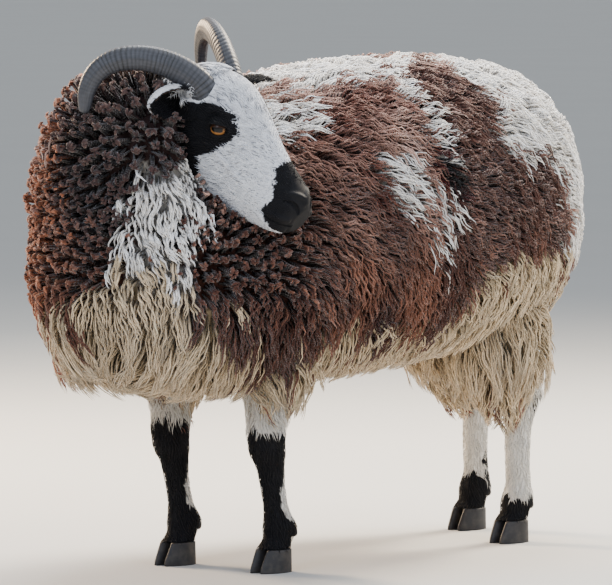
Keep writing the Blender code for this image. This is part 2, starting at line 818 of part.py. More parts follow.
def inside(loft, point, grow, slack=0.004):
    """Whether a point is well inside a loft's core."""
    best, where = 1e9, 0.0
    for i in range(41):
        t = i / 40
        far = (catmull(loft.centres, t) - point).length
        if far < best:
            best, where = far, t
    centre = catmull(loft.centres, where)
    away = point - centre
    side, up = catmull(loft.sides, where), catmull(loft.ups, where)
    along = side.cross(up).normalized()
    if abs(away.dot(along)) > 0.05:
        return False
    x = away.dot(side.normalized()) / max(0.001, side.length + grow - slack)
    y = away.dot(up.normalized()) / max(0.001, up.length + grow - slack)
    return abs(x) ** loft.squareness + abs(y) ** loft.squareness < 1


def coat_roots(loft, spacing, start, end, dice):
    """Evenly spaced places on a loft's core, in rows that are set half a step apart."""
    steps = 80
    path = [loft.point(start + (end - start) * i / steps, 0.4, -CLUMP_RISE) for i in range(steps + 1)]
    walked, due, row = 0.0, spacing / 2, 0
    for i in range(steps):
        walked += (path[i + 1] - path[i]).length
        if walked < due:
            continue
        due += spacing * 0.88
        row += 1
        t = start + (end - start) * (i + 1) / steps
        ring = loft.ring(t, 48, -CLUMP_RISE)
        round_length = sum((ring[k] - ring[k - 1]).length for k in range(len(ring)))
        count = max(3, round(round_length / spacing))
        reach, k = 0.0, 0
        for n in range(count):
            target = round_length * (n + 0.5 * (row % 2)) / count + dice.uniform(-0.1, 0.1) * spacing
            while reach < target and k < 3 * len(ring):
                reach += (ring[(k + 1) % len(ring)] - ring[k % len(ring)]).length
                k += 1
            angle = math.tau * (k % len(ring)) / len(ring)
            yield t, angle


def lie_of(normal, droop):
    """The lie of the coat at a place: back along the spine on top, and down on the sides."""
    wish = DOWN * droop + BACK * 0.35
    flat = wish - normal * wish.dot(normal)
    if flat.length < 0.05:
        flat = BACK - normal * BACK.dot(normal)
    return flat.normalized()


def clumps_on(loft, span, spacing, others, dice):
    """Clumps over the share of a loft between the two ends of span, where no other core is."""
    clumps = []
    for t, angle in coat_roots(loft, spacing, *span, dice):
        root = loft.point(t, angle, -CLUMP_RISE)
        if any(inside(other, root, -CLUMP_RISE) for other in others):
            continue
        normal = loft.normal(t, angle, -CLUMP_RISE)
        lie = lie_of(normal, 1.0 if normal.z < 0.75 else 0.2)
        rise = CLUMP_RISE * dice.uniform(0.88, 1.06)
        clumps.append(clump(root, normal, lie, spacing * CLUMP_SPREAD, rise, dice))
    return clumps


def make_fleece():
    """The whole fleece as one closed body, before it is parted."""
    dice = random.Random(11)
    trunk, neck, throat = trunk_loft(), neck_loft(), throat_loft()
    breeches = [breeches_loft(name) for name in FEET]
    fleece = closed_tube("fleece", trunk, 15, 14, -CLUMP_RISE)
    cores = [closed_tube("neck_core", neck, 8, 12, -CLUMP_RISE)]
    cores.append(closed_tube("throat_core", throat, 5, 10, -CLUMP_RISE))
    cores += [closed_tube("breeches_core", loft, 4, 8, -CLUMP_RISE) for loft in breeches]
    boolean(fleece, cores, "UNION")
    clumps = clumps_on(trunk, (0.0, 1.0), CLUMP_SPACING, [neck, throat, *breeches], dice)
    clumps += clumps_on(neck, (0.25, 0.98), CLUMP_SPACING * NECK_CLOSER, [trunk, throat], dice)
    clumps += clumps_on(throat, (0.05, 0.70), CLUMP_SPACING * THROAT_CLOSER, [trunk, neck], dice)
    for loft in breeches:
        clumps += clumps_on(loft, (0.35, 0.96), CLUMP_SPACING * LEGS_CLOSER, [trunk], dice)
    boolean(fleece, clumps, "UNION")
    return thinned(fleece, FLEECE_FACES)


def closed_tube(name, loft, steps, count, grow):
    """A loft as a closed object with pointed ends."""
    rings = loft.rings(steps, count, grow)
    return mesh_object(name, rings, tips=(centre_of(rings[0]), centre_of(rings[-1])))


def tail_loft(longer=0.0):
    """The tail, out to the tips of its wool, and longer at both ends where asked."""
    steps = len(TAIL_SCALES) - 1
    more = (TAIL_BOTTOM - TAIL_TOP).normalized() * longer
    top, bottom = TAIL_TOP - more, TAIL_BOTTOM + more
    return Loft(
        [top.lerp(bottom, (i / steps) ** 0.9) for i in range(steps + 1)],
        [Vector((TAIL_HALF_WIDTH * scale, 0, 0)) for scale in TAIL_SCALES],
        [Vector((0, TAIL_HALF_DEPTH * scale, 0)) for scale in TAIL_SCALES],
    )


def make_tail(name):
    """The woolly tail, with hanging clumps."""
    dice = random.Random(5)
    loft = tail_loft()
    tail = closed_tube(name, loft, 8, 12, -TAIL_CLUMP_RISE)
    clumps = []
    for row, t in enumerate(TAIL_CLUMP_ROWS):
        for n in range(TAIL_CLUMPS_ROUND):
            angle = math.tau * (n + 0.5 * (row % 2)) / TAIL_CLUMPS_ROUND
            root = loft.point(t, angle, -TAIL_CLUMP_RISE)
            normal = loft.normal(t, angle, -TAIL_CLUMP_RISE)
            lie = lie_of(normal, 1.0)
            clumps.append(clump(root, normal, lie, TAIL_CLUMP_WIDTH, TAIL_CLUMP_RISE, dice))
    boolean(tail, clumps, "UNION")
    limit = closed_tube("limit", loft, 8, 12, TAIL_CLUMP_REACH)
    return boolean(thinned(tail, TAIL_FACES), [limit], "INTERSECT")


def head_out(grow=GAP):
    """The head's outline, grown by the gap, to cut what stands in it."""
    rings = head_rings(grow)
    return mesh_object("head_out", rings[1:-1], tips=(centre_of(rings[0]), centre_of(rings[-1])))


def keep_outs():
    """Everything that the fleece is cut clear of, grown by the gap."""
    outs = [head_out(2 * GAP)]
    for side in (1, -1):
        outs.append(make_horn("horn_out", side, HORN_RIDGE + 3 * GAP, 0.0))
        outs.append(make_ear("ear_out", side, 2 * GAP, True))
    for name, foot in FEET.items():
        rows = FORELEG_ROWS if "fore" in name else HINDLEG_ROWS
        outs.append(bare_leg("leg_out", foot, rows, GAP))
    return outs


def main():
    """Builds every node and names it."""
    clear_scene()
    wool = make_material("wool", (0.42, 0.31, 0.24), 0.95)
    hair = make_material("short hair", (0.62, 0.64, 0.68), 0.85)
    horn = make_material("horn", (0.16, 0.17, 0.19), 0.55)
    eye = make_material("eye", (0.20, 0.10, 0.04), 0.15)
    nodes = {}

    fleece = make_fleece()
    tail_out = closed_tube("tail_out", tail_loft(3 * GAP), 8, 12, TAIL_CLUMP_REACH + 3 * GAP)
    boolean(fleece, keep_outs() + [tail_out], "DIFFERENCE")

    nodes["neck"] = (parted(fleece, NECK_CUT_POINT, NECK_CUT_NORMAL, "neck"), wool)
    rump = parted(fleece, Vector((0, RUMP_CUT_Y, 0)), BACK, "rump")
    nodes["shoulders"] = (parted(fleece, Vector((0, SHOULDER_CUT_Y, 0)), -BACK, "shoulders"), wool)
    nodes["barrel"] = (fleece, wool)
    nodes["rump"] = (rump, wool)
    for label, side in (("left", 1), ("right", -1)):
        mirror = Vector((side, 1, 1))
        thigh = parted(rump, THIGH_CUT_POINT * mirror, THIGH_CUT_NORMAL * mirror, "thigh")
        nodes["thigh_" + label] = (thigh, wool)

    nodes["head"] = (make_head(), hair)
    for label, side in (("right", 1), ("left", -1)):
        ear, horned = make_ear("ear", side), make_horn("horn", side)
        boolean(ear, [head_out(), make_horn("horn_out", side, HORN_RIDGE + GAP, 0.0)], "DIFFERENCE")
        boolean(horned, [head_out()], "DIFFERENCE")
        nodes["ear_" + label] = (ear, hair)
        nodes["horn_" + label] = (horned, horn)
        nodes["eye_" + label] = (make_eye("eye_" + label, side), eye)

    for name, foot in FEET.items():
        rows = FORELEG_ROWS if "fore" in name else HINDLEG_ROWS
        nodes[name] = (make_leg(name, foot, rows), hair)
        for label, side in (("left", 1), ("right", -1)):
            claw = f"hoof_{name}_{label}"
            nodes[claw] = (make_claw(claw, foot, side), horn)

    nodes["tail"] = (make_tail("tail"), wool)

    for name, (obj, material) in nodes.items():
        obj.name = name
        move_to(obj, PARTS)
        keep_largest(obj)
        obj.data.transform(Matrix.Translation(ORIGIN_SHIFT))
        obj.data.materials.clear()
        obj.data.materials.append(material)


if __name__ == "__main__":
    main()
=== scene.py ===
"""A Jacob ewe in full fleece, standing, with her head turned to her left side.

Skin, wool, hair, horns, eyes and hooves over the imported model. Metres, +Z up.
She faces -Y and her left side is +X. Every form is laid out with the midline of
the legs on x = 0, and moved by ORIGIN_SHIFT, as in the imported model.
"""

import logging
import math
from dataclasses import dataclass, field
from enum import Enum

import bpy
import numpy as np
from mathutils import Matrix, Vector
from mathutils.bvhtree import BVHTree
from mathutils.kdtree import KDTree


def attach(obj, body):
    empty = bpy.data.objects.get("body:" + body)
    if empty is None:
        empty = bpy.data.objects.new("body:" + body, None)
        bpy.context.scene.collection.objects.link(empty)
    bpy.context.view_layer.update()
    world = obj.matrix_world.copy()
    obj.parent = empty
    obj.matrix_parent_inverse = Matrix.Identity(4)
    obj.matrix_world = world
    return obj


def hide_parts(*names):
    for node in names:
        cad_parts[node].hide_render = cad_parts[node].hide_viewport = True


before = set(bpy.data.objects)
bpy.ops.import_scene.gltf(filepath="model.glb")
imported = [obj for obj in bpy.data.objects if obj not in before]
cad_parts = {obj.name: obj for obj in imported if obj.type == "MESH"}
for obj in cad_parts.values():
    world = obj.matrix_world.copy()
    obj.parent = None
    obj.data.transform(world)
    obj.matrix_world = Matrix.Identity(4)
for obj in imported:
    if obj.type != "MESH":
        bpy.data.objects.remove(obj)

Array = np.ndarray
LOG = logging.getLogger("jacob_sheep")
ORIGIN_SHIFT = np.array((-0.0095, 0.0793, 0.0))
FLEECE_DEPTH = 0.036
LEG_WOOL_DEPTH = 0.026
TAIL_WOOL_DEPTH = 0.012
UP = np.array((0.0, 0.0, 1.0))
BACK = np.array((0.0, 1.0, 0.0))
PELT = "pelt"
STRAND = "strand"
BARE = "bare"
GROWTH = "growth"
GAZE = "gaze"
BAKE_MAP = "OFBake"
TUFT_PATCH = 0.003
HAIR_MARKS = (0.0, 0.34, 0.68, 1.0)
HAIR_OUTLINE = (0.7, 1.0, 0.75, 0.4)
BRIGHTEST = 0.95


class Slot(Enum):
    """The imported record's material slots."""

    WOOL = "wool"
    HAIR = "short_hair"
    HORN = "horn"
    HOOF = "hoof"
    EYE = "eye"


class Leg(Enum):
    """The four legs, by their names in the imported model."""

    FORE_LEFT = "foreleg_left"
    FORE_RIGHT = "foreleg_right"
    HIND_LEFT = "hindleg_left"
    HIND_RIGHT = "hindleg_right"

    @property
    def fore(self) -> bool:
        """Whether this is a foreleg."""
        return self.value.startswith("fore")


class Side(Enum):
    """Her own right and left side, with the sign that each has in the head's axes."""

    RIGHT = 1
    LEFT = -1

    @property
    def label(self) -> str:
        """The side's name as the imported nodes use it."""
        return self.name.lower()


FEET = {
    Leg.FORE_LEFT: np.array((0.091, -0.244, 0.0)),
    Leg.FORE_RIGHT: np.array((-0.075, -0.266, 0.0)),
    Leg.HIND_LEFT: np.array((0.090, 0.275, 0.0)),
    Leg.HIND_RIGHT: np.array((-0.074, 0.370, 0.0)),
}


def linear(colour: str) -> tuple[float, float, float]:
    """Turns a colour to linear light.

    Args:
        colour: An sRGB hex value, such as "#A08060".

    Returns:
        Red, green and blue from 0 to 1.
    """
    parts = [int(colour[i : i + 2], 16) / 255 for i in (1, 3, 5)]
    return tuple(c / 12.92 if c <= 0.04045 else ((c + 0.055) / 1.055) ** 2.4 for c in parts)


def unit(vectors: Array) -> Array:
    """Vectors scaled to length one, along the last axis of an array."""
    return vectors / np.maximum(np.linalg.norm(vectors, axis=-1, keepdims=True), 1e-9)


def smooth_curve(values: Array, t: Array) -> Array:
    """The smooth curve through rows of values.

    Args:
        values: The rows that the curve runs through.
        t: Places from 0, the first row, to 1, the last.

    Returns:
        One row for each place.
    """
    values, t = np.asarray(values, float), np.atleast_1d(np.asarray(t, float))
    if values.ndim == 1:
        values = values[:, None]
    padded = np.vstack([2 * values[0] - values[1], values, 2 * values[-1] - values[-2]])
    span = np.clip(t, 0, 1) * (len(values) - 1)
    i = np.minimum(span.astype(int), len(values) - 2)
    f = (span - i)[:, None]
    before, a, b, after = (padded[i + k] for k in range(4))
    return 0.5 * (
        2 * a
        + (b - before) * f
        + (2 * before - 5 * a + 4 * b - after) * f**2
        + (3 * a - before - 3 * b + after) * f**3
    )


def bent(values: Array, squareness: float) -> Array:
    """Cosines or sines bent from a circle's towards a square's.

    Args:
        values: Numbers from -1 to 1.
        squareness: 2 for a circle, and more for a squarer outline.

    Returns:
        Numbers from -1 to 1.
    """
    return np.sign(values) * np.abs(values) ** (2 / squareness)


def ripple(points: Array, size: float, seed: int) -> Array:
    """A smooth, uneven field in space, for ragged edges and mottling.

    Args:
        points: Where to read it, one row each.
        size: The rough distance in metres from one crest to the next.
        seed: Which field.

    Returns:
        Numbers round 0, mostly from -1 to 1.
    """
    dice = np.random.default_rng(seed)
    waves = unit(dice.normal(size=(7, 3))) * dice.uniform(0.7, 1.5, (7, 1)) * math.tau / size
    phases = dice.uniform(0, math.tau, 7)
    return np.sin(points @ waves.T + phases).sum(axis=1) / 2.6


def within_outline(across: Array, up: Array, outline: tuple) -> Array:
    """Which flat places are inside a closed outline.

    Args:
        across: Their first coordinates.
        up: Their second coordinates.
        outline: The outline's corners, in order.

    Returns:
        True for each place inside.
    """
    inside = np.zeros(len(across), dtype=bool)
    for (x1, y1), (x2, y2) in zip(outline, outline[1:] + outline[:1]):
        if y1 != y2:
            spans = (y1 > up) != (y2 > up)
            inside ^= spans & (across < x1 + (x2 - x1) * (up - y1) / (y2 - y1))
    return inside


def eased(values: Array, start: float, end: float) -> Array:
    """Rises smoothly from 0 at start to 1 at end."""
    share = np.clip((values - start) / (end - start), 0, 1)
    return share * share * (3 - 2 * share)


@dataclass
class Loft:
    """A tube of oval sections along a smooth middle line.

    Attributes:
        centres: Where each section is.
        sides: Half of each section's width, as a vector.
        ups: Half of each section's height, as a vector.
        squareness: 2 for oval sections, and more for squarer ones.
    """

    centres: Array
    sides: Array
    ups: Array
    squareness: float = 2.0

    def rings(self, steps: int, count: int, grow: float = 0.0) -> Array:
        """Sections spaced evenly along the tube.

        Args:
            steps: How many lengths the tube is divided into.
            count: How many points each section has.
            grow: How much longer every half axis is.

        Returns:
            Points by section and by place round it.
        """
        t = np.linspace(0, 1, steps + 1)
        angle = np.arange(count) * math.tau / count
        side, up = smooth_curve(self.sides, t), smooth_curve(self.ups, t)
        wide = np.linalg.norm(side, axis=1, keepdims=True)
        tall = np.linalg.norm(up, axis=1, keepdims=True)
        side = side * np.maximum(0.002, wide + grow) / wide
        up = up * np.maximum(0.002, tall + grow) / tall
        cosine = bent(np.cos(angle), self.squareness)[None, :, None]
        sine = bent(np.sin(angle), self.squareness)[None, :, None]
        middle = smooth_curve(self.centres, t)[:, None]
        return middle + side[:, None] * cosine + up[:, None] * sine


@dataclass
class BodyForm:
    """The trunk, neck, throat, legs and tail, out to the tips of the fleece.

    Attributes:
        trunk: Rows of y, half width, bottom and top.
        neck: Rows of centre, half width and half depth.
        throat: Rows of centre and radius.
        foreleg: Rows of height, forward shift, half width and half depth.
        hindleg: The same for the hind legs.
        fore_breeches: Half width, half depth and lowest point of the wool round a
            foreleg's top, and how far before the foot its top and bottom are.
        hind_breeches: The same for the hind legs.
        breeches_top: How high the wool round a leg reaches up into the trunk.
        breeches_scales: How large its sections are against those, from the top down.
        tail_top: Where the tail starts.
        tail_bottom: Where it ends.
        tail_half_width: Half the tail's width.
        tail_half_depth: Half its depth.
        tail_scales: How large its sections are against those, from the top down.
    """

    trunk: tuple = (
        (-0.535, 0.045, 0.350, 0.470),
        (-0.515, 0.115, 0.305, 0.535),
        (-0.460, 0.178, 0.270, 0.590),
        (-0.370, 0.212, 0.255, 0.620),
        (-0.250, 0.236, 0.255, 0.678),
        (-0.100, 0.252, 0.268, 0.713),
        (0.050, 0.250, 0.278, 0.724),
        (0.180, 0.232, 0.290, 0.724),
        (0.280, 0.198, 0.305, 0.704),
        (0.340, 0.145, 0.345, 0.660),
        (0.368, 0.060, 0.450, 0.570),
    )
    neck: tuple = (
        ((0.000, -0.350, 0.350), 0.200, 0.172),
        ((-0.014, -0.390, 0.500), 0.184, 0.165),
        ((-0.022, -0.436, 0.565), 0.152, 0.138),
        ((-0.006, -0.456, 0.600), 0.126, 0.118),
        ((0.036, -0.461, 0.617), 0.110, 0.104),
        ((0.078, -0.455, 0.622), 0.100, 0.094),
        ((0.108, -0.450, 0.622), 0.072, 0.068),
    )
    throat: tuple = (
        ((0.074, -0.447, 0.596), 0.074),
        ((0.060, -0.440, 0.540), 0.104),
        ((0.036, -0.405, 0.450), 0.142),
        ((0.018, -0.370, 0.360), 0.138),
    )
    foreleg: tuple = (
        (0.345, 0.030, 0.030, 0.036),
        (0.280, 0.030, 0.027, 0.032),
        (0.228, 0.028, 0.0225, 0.0255),
        (0.195, 0.029, 0.0235, 0.0250),
        (0.172, 0.027, 0.0230, 0.0245),
        (0.150, 0.021, 0.0180, 0.0190),
        (0.120, 0.015, 0.0150, 0.0165),
        (0.088, 0.008, 0.0152, 0.0172),
        (0.064, 0.001, 0.0200, 0.0235),
        (0.046, 0.006, 0.0190, 0.0195),
        (0.033, 0.014, 0.0215, 0.0215),
    )
    hindleg: tuple = (
        (0.365, 0.075, 0.034, 0.044),
        (0.300, 0.040, 0.028, 0.036),
        (0.252, 0.008, 0.0215, 0.031),
        (0.226, -0.007, 0.0205, 0.0280),
        (0.195, -0.005, 0.0185, 0.0225),
        (0.160, -0.001, 0.0165, 0.0190),
        (0.120, 0.000, 0.0155, 0.0178),
        (0.088, -0.002, 0.0160, 0.0180),
        (0.064, 0.000, 0.0205, 0.0235),
        (0.046, 0.006, 0.0190, 0.0195),
        (0.033, 0.014, 0.0215, 0.0215),
    )
    fore_breeches: tuple = (0.062, 0.068, 0.238, 0.020, 0.020)
    hind_breeches: tuple = (0.070, 0.076, 0.212, 0.085, 0.034)
    breeches_top: float = 0.42
    breeches_scales: tuple = (0.9, 1.05, 1.05, 0.95, 0.55)
    tail_top: tuple = (0.0, 0.335, 0.615)
    tail_bottom: tuple = (0.0, 0.385, 0.385)
    tail_half_width: float = 0.040
    tail_half_depth: float = 0.030
    tail_scales: tuple = (0.62, 0.95, 1.0, 0.92, 0.55)

    def trunk_loft(self) -> Loft:
        """The barrel, shoulders and rump."""
        y, half, low, high = np.array(self.trunk).T
        nought = np.zeros_like(y)
        return Loft(
            np.stack([nought, y, (low + high) / 2], 1),
            np.stack([half, nought, nought], 1),
            np.stack([nought, nought, (high - low) / 2], 1),
            2.35,
        )

    @staticmethod
    def leaning(centres: Array, wide: Array, deep: Array, facing: Array, squareness: float) -> Loft:
        """A tube whose sections stand square to its middle line.

        Args:
            centres: Where each section is.
            wide: Half widths.
            deep: Half depths.
            facing: Roughly the way that a section's depth points.
            squareness: How square the sections are.

        Returns:
            The loft.
        """
        ahead = np.array(
            [
                centres[min(i + 1, len(centres) - 1)] - centres[max(i - 1, 0)]
                for i in range(len(centres))
            ]
        )
        across = unit(np.cross(ahead, facing))
        deeper = unit(np.cross(ahead, across))
        return Loft(centres, across * wide[:, None], deeper * deep[:, None], squareness)

    def neck_loft(self) -> Loft:
        """The neck, from inside the chest to inside the back of the head."""
        centres = np.array([row[0] for row in self.neck])
        wide, deep = (np.array([row[k] for row in self.neck]) for k in (1, 2))
        return self.leaning(centres, wide, deep, np.array((0, -1, 0.35)), 2.1)

    def throat_loft(self) -> Loft:
        """The wool of the throat, from under the jaw down to the brisket."""
        centres = np.array([row[0] for row in self.throat])
        radius = np.array([row[1] for row in self.throat])
        return self.leaning(centres, radius, radius, np.array((0, -1, 0)), 2.0)

    def breeches_loft(self, leg: Leg) -> Loft:
        """The wool that hangs round the top of one leg."""
        foot = FEET[leg]
        wide, deep, bottom, top_ahead, low_ahead = (
            self.fore_breeches if leg.fore else self.hind_breeches
        )
        top = np.array((foot[0] * 1.15, foot[1] - top_ahead, self.breeches_top))
        low = np.array((foot[0], foot[1] - low_ahead, bottom))
        return self.hanging(top, low, self.breeches_scales, wide, deep, 1.0)

    def tail_loft(self) -> Loft:
        """The tail."""
        return self.hanging(
            np.array(self.tail_top),
            np.array(self.tail_bottom),
            self.tail_scales,
            self.tail_half_width,
            self.tail_half_depth,
            0.9,
        )

    @staticmethod
    def hanging(
        top: Array, low: Array, scales: tuple, wide: float, deep: float, early: float
    ) -> Loft:
        """A tube that hangs from top to low, with level sections.

        Args:
            top: Its upper end.
            low: Its lower end.
            scales: How large each section is against the half width and depth.
            wide: Half width.
            deep: Half depth.
            early: Below 1, the sections stand closer together at the lower end.

        Returns:
            The loft.
        """
        share = (np.arange(len(scales)) / (len(scales) - 1)) ** early
        scale = np.array(scales)[:, None]
        return Loft(
            top + (low - top) * share[:, None],
            scale * np.array((wide, 0, 0)),
            scale * np.array((0, deep, 0)),
        )

    def leg_loft(self, leg: Leg) -> Loft:
        """One leg, from inside the fleece down to the top of the hoof."""
        foot = FEET[leg]
        z, shift, wide, deep = np.array(self.foreleg if leg.fore else self.hindleg).T
        nought = np.zeros_like(z)
        return Loft(
            np.stack([nought + foot[0], foot[1] - shift, z], 1),
            np.stack([wide, nought, nought], 1),
            np.stack([nought, deep, nought], 1),
            2.15,
        )


@dataclass
class HeadForm:
    """The head's shape and place, in its own axes.

    Attributes:
        poll: The point between the horns that the head is measured from.
        heading: Which way the face points, in degrees from +X.
        roll: How far the head leans, in degrees.
        pitch: How far the face slopes down, in degrees.
        rows: Distance from the poll, top, bottom, half widths of brow, cheek and jaw.
        eye: The eye's place: along, out and up.
        eye_radius: Its ball's radius.
        eye_slant: How far the slit between the lids slopes down to the nose, in radians.
        eye_aim: The line of sight, as shares ahead, out and up.
        lid_thick: How thick the lids are over the ball.
        lid_reach: How much more they stand out along the slit, outwards and up.
        opening: Half sizes of the opening between them, along, out and up.
        squareness: 2 for oval sections, and more for squarer ones.
        blend: The power that its width shades with from the cheek to the brow and jaw.
        cheek_wool: Corners of the box that holds the black wool behind the cheek.
    """

    poll: tuple = (0.122, -0.427, 0.716)
    heading: float = 4.0
    roll: float = 9.0
    pitch: float = 39.0
    rows: tuple = (
        (-0.032, -0.048, -0.085, 0.018, 0.020, 0.016),
        (-0.025, -0.030, -0.108, 0.036, 0.040, 0.030),
        (0.000, -0.002, -0.130, 0.048, 0.052, 0.040),
        (0.033, 0.015, -0.150, 0.051, 0.056, 0.043),
        (0.057, 0.020, -0.160, 0.053, 0.057, 0.042),
        (0.080, 0.017, -0.164, 0.052, 0.055, 0.039),
        (0.104, 0.010, -0.160, 0.043, 0.050, 0.035),
        (0.132, -0.002, -0.152, 0.034, 0.044, 0.031),
        (0.161, -0.015, -0.141, 0.028, 0.039, 0.028),
        (0.189, -0.026, -0.129, 0.027, 0.036, 0.026),
        (0.212, -0.035, -0.120, 0.028, 0.036, 0.026),
        (0.230, -0.045, -0.109, 0.025, 0.031, 0.022),
        (0.241, -0.058, -0.096, 0.014, 0.018, 0.014),
    )
    squareness: float = 2.3
    blend: float = 1.3
    eye: tuple = (0.085, 0.0415, -0.029)
    eye_radius: float = 0.0135
    eye_slant: float = math.radians(-25)
    lid_thick: float = 0.0024
    lid_reach: tuple = (0.0040, 0.0, 0.0015)
    opening: tuple = (0.0184, 0.0100, 0.0080)
    eye_aim: tuple = (0.30, 0.94, 0.10)
    cheek_wool: tuple = ((-0.045, -0.11, -0.122), (0.06, 0.11, -0.02))

    def __post_init__(self) -> None:
        """Works out the head's axes."""
        heading, pitch = math.radians(self.heading), math.radians(self.pitch)
        self.forward = np.array((math.cos(heading), math.sin(heading), 0.0))
        right = Vector((math.sin(heading), -math.cos(heading), 0.0))
        lean = Matrix.Rotation(math.radians(self.roll), 3, Vector(self.forward))
        self.right = np.array(lean @ right)
        self.upright = np.array(lean @ Vector(UP))
        self.along = self.forward * math.cos(pitch) - self.upright * math.sin(pitch)
        self.dorsal = self.forward * math.sin(pitch) + self.upright * math.cos(pitch)

    def place(self, along: Array, out: Array, up: Array, side: int = 1) -> Array:
        """Points in space from places in the head's axes.

        Args:
            along: Distances from the poll towards the nose.
            out: Distances out to one side.
            up: Heights.
            side: 1 for her right and -1 for her left.

        Returns:
            One point, or one row for each place.
        """
        along, out, up = (np.asarray(v, float)[..., None] for v in (along, out, up))
        return (
            np.array(self.poll)
            + along * self.along
            + out * side * self.right
            + up * self.dorsal
        )

    def local(self, points: Array) -> Array:
        """Places in the head's axes from points in space: along, out to her right, and up."""
        axes = np.stack([self.along, self.right, self.dorsal], 1)
        return (points - np.array(self.poll)) @ axes

    def behind_cheek(self, points: Array) -> Array:
        """Which points are in the black wool between the ears and the throat."""
        places, (low, high) = self.local(points), self.cheek_wool
        return ((places > low) & (places < high)).all(axis=1)

    def widths(self, t: Array, height: Array) -> Array:
        """Half widths of the head.

        Args:
            t: Places along the rows, from 0 to 1.
            height: The sine of the angle round the section, from -1 below to 1 on top.

        Returns:
            A half width for each pair.
        """
        brow, cheek, jaw = smooth_curve(np.array(self.rows)[:, 3:], t).T
        upper, lower = np.maximum(height, 0), np.maximum(-height, 0)
        return cheek + (brow - cheek) * upper**self.blend + (jaw - cheek) * lower**self.blend

    def rings(self, steps: int, count: int) -> Array:
        """Sections across the head, by section and by place round it."""
        rings = []
        angle = np.arange(count) * math.tau / count
        height = np.sin(angle)
        for t in np.linspace(0, 1, steps + 1):
            along, top, bottom = smooth_curve(np.array(self.rows)[:, :3], t)[0]
            half = self.widths(np.full(count, t), height)
            up = (top + bottom) / 2 + (top - bottom) / 2 * bent(height, self.squareness)
            out = half * bent(np.cos(angle), self.squareness)
            rings.append(self.place(np.full(count, along), out, up))
        return np.array(rings)

    def row_at(self, along: float) -> float:
        """How far down the rows, from 0 to 1, a distance from the poll is."""
        places = np.linspace(0, 1, 400)
        distances = smooth_curve(np.array(self.rows)[:, 0], places)[:, 0]
        return float(np.interp(along, distances, places))

    def on_side(self, along: float, up: float, side: int, sink: float = 0.0) -> Array:
        """A point on the side of the head.

        Args:
            along: Distance from the poll.
            up: Height.
            side: 1 for her right and -1 for her left.
            sink: How far inside the surface it is.

        Returns:
            The point.
        """
        t = self.row_at(along)
        _, top, bottom = smooth_curve(np.array(self.rows)[:, :3], t)[0]
        share = np.clip((up - (top + bottom) / 2) / ((top - bottom) / 2), -0.999, 0.999)
        height = math.copysign(abs(share) ** (self.squareness / 2), share)
        half = self.widths(np.array([t]), np.array([height]))[0]
        out = half * float(bent(np.array(math.sqrt(1 - height**2)), self.squareness)) - sink
        return self.place(along, out, up, side)

    def eye_centre(self, side: int) -> Array:
        """The middle of one eyeball."""
        return self.place(*self.eye, side)

    def eye_axes(self, side: int) -> tuple[Array, Array, Array]:
        """Directions at one eye: along the slit between the lids, out of the head, and up."""
        slit = self.along * math.cos(self.eye_slant) - self.dorsal * math.sin(self.eye_slant)
        ahead, aside, up = self.eye_aim
        out = unit(self.right * side * aside + self.along * ahead + self.dorsal * up)
        slit = unit(slit - out * (slit @ out))
        return slit, out, np.cross(slit, out)


def mesh_object(name: str, verts: Array, faces: list) -> bpy.types.Object:
    """A new object from points and faces, with its faces turned outwards.

    Args:
        name: The object's name.
        verts: Its points.
        faces: Rows of point numbers.

    Returns:
        The object, linked to the scene.
    """
    data = bpy.data.meshes.new(name)
    data.from_pydata(verts.tolist(), [], faces)
    obj = bpy.data.objects.new(name, data)
    bpy.context.scene.collection.objects.link(obj)
    select_only(obj)
    bpy.ops.object.mode_set(mode="EDIT")
    bpy.ops.mesh.select_all(action="SELECT")
    bpy.ops.mesh.normals_make_consistent(inside=False)
    bpy.ops.object.mode_set(mode="OBJECT")
    return obj


def select_only(*objects: bpy.types.Object) -> None:
    """Selects these objects alone, and makes the first of them active."""
    bpy.ops.object.select_all(action="DESELECT")
    for obj in objects:
        obj.select_set(True)
    bpy.context.view_layer.objects.active = objects[0]


def tube(name: str, rings: Array) -> bpy.types.Object:
    """A closed object through rings of points, with a pointed cap at each end.

    Args:
        name: The object's name.
        rings: Points by ring and by place round it.

    Returns:
        The object.
    """
    steps, count = rings.shape[:2]
    ends = [rings[0].mean(axis=0), rings[-1].mean(axis=0)]
    verts = np.vstack([rings.reshape(-1, 3), ends])
    faces = []
    for i in range(steps - 1):
        for k in range(count):
            a, b = i * count + k, i * count + (k + 1) % count
            faces.append((a, b, b + count, a + count))
    first, last = steps * count, steps * count + 1
    for k in range(count):
        faces.append((k, (k + 1) % count, first))
        faces.append(((steps - 1) * count + k, (steps - 1) * count + (k + 1) % count, last))
    return mesh_object(name, verts, faces)


def rod(name: str, points: Array, radii: Array, count: int = 12) -> bpy.types.Object:
    """A tapering round tube through points.

    Args:
        name: The object's name.
        points: Its middle line.
        radii: Its radius at each point.
        count: How many sides it has.

    Returns:
        The object.
    """
    points = np.asarray(points)
    ahead = np.gradient(points, axis=0)
    side = unit(np.cross(ahead, np.array((0.31, 0.17, 0.94))))
    up = unit(np.cross(ahead, side))
    angle = np.arange(count) * math.tau / count
    rings = [
        p + r * (np.cos(angle)[:, None] * s + np.sin(angle)[:, None] * u)
        for p, r, s, u in zip(points, radii, side, up)
    ]
    return tube(name, np.array(rings))


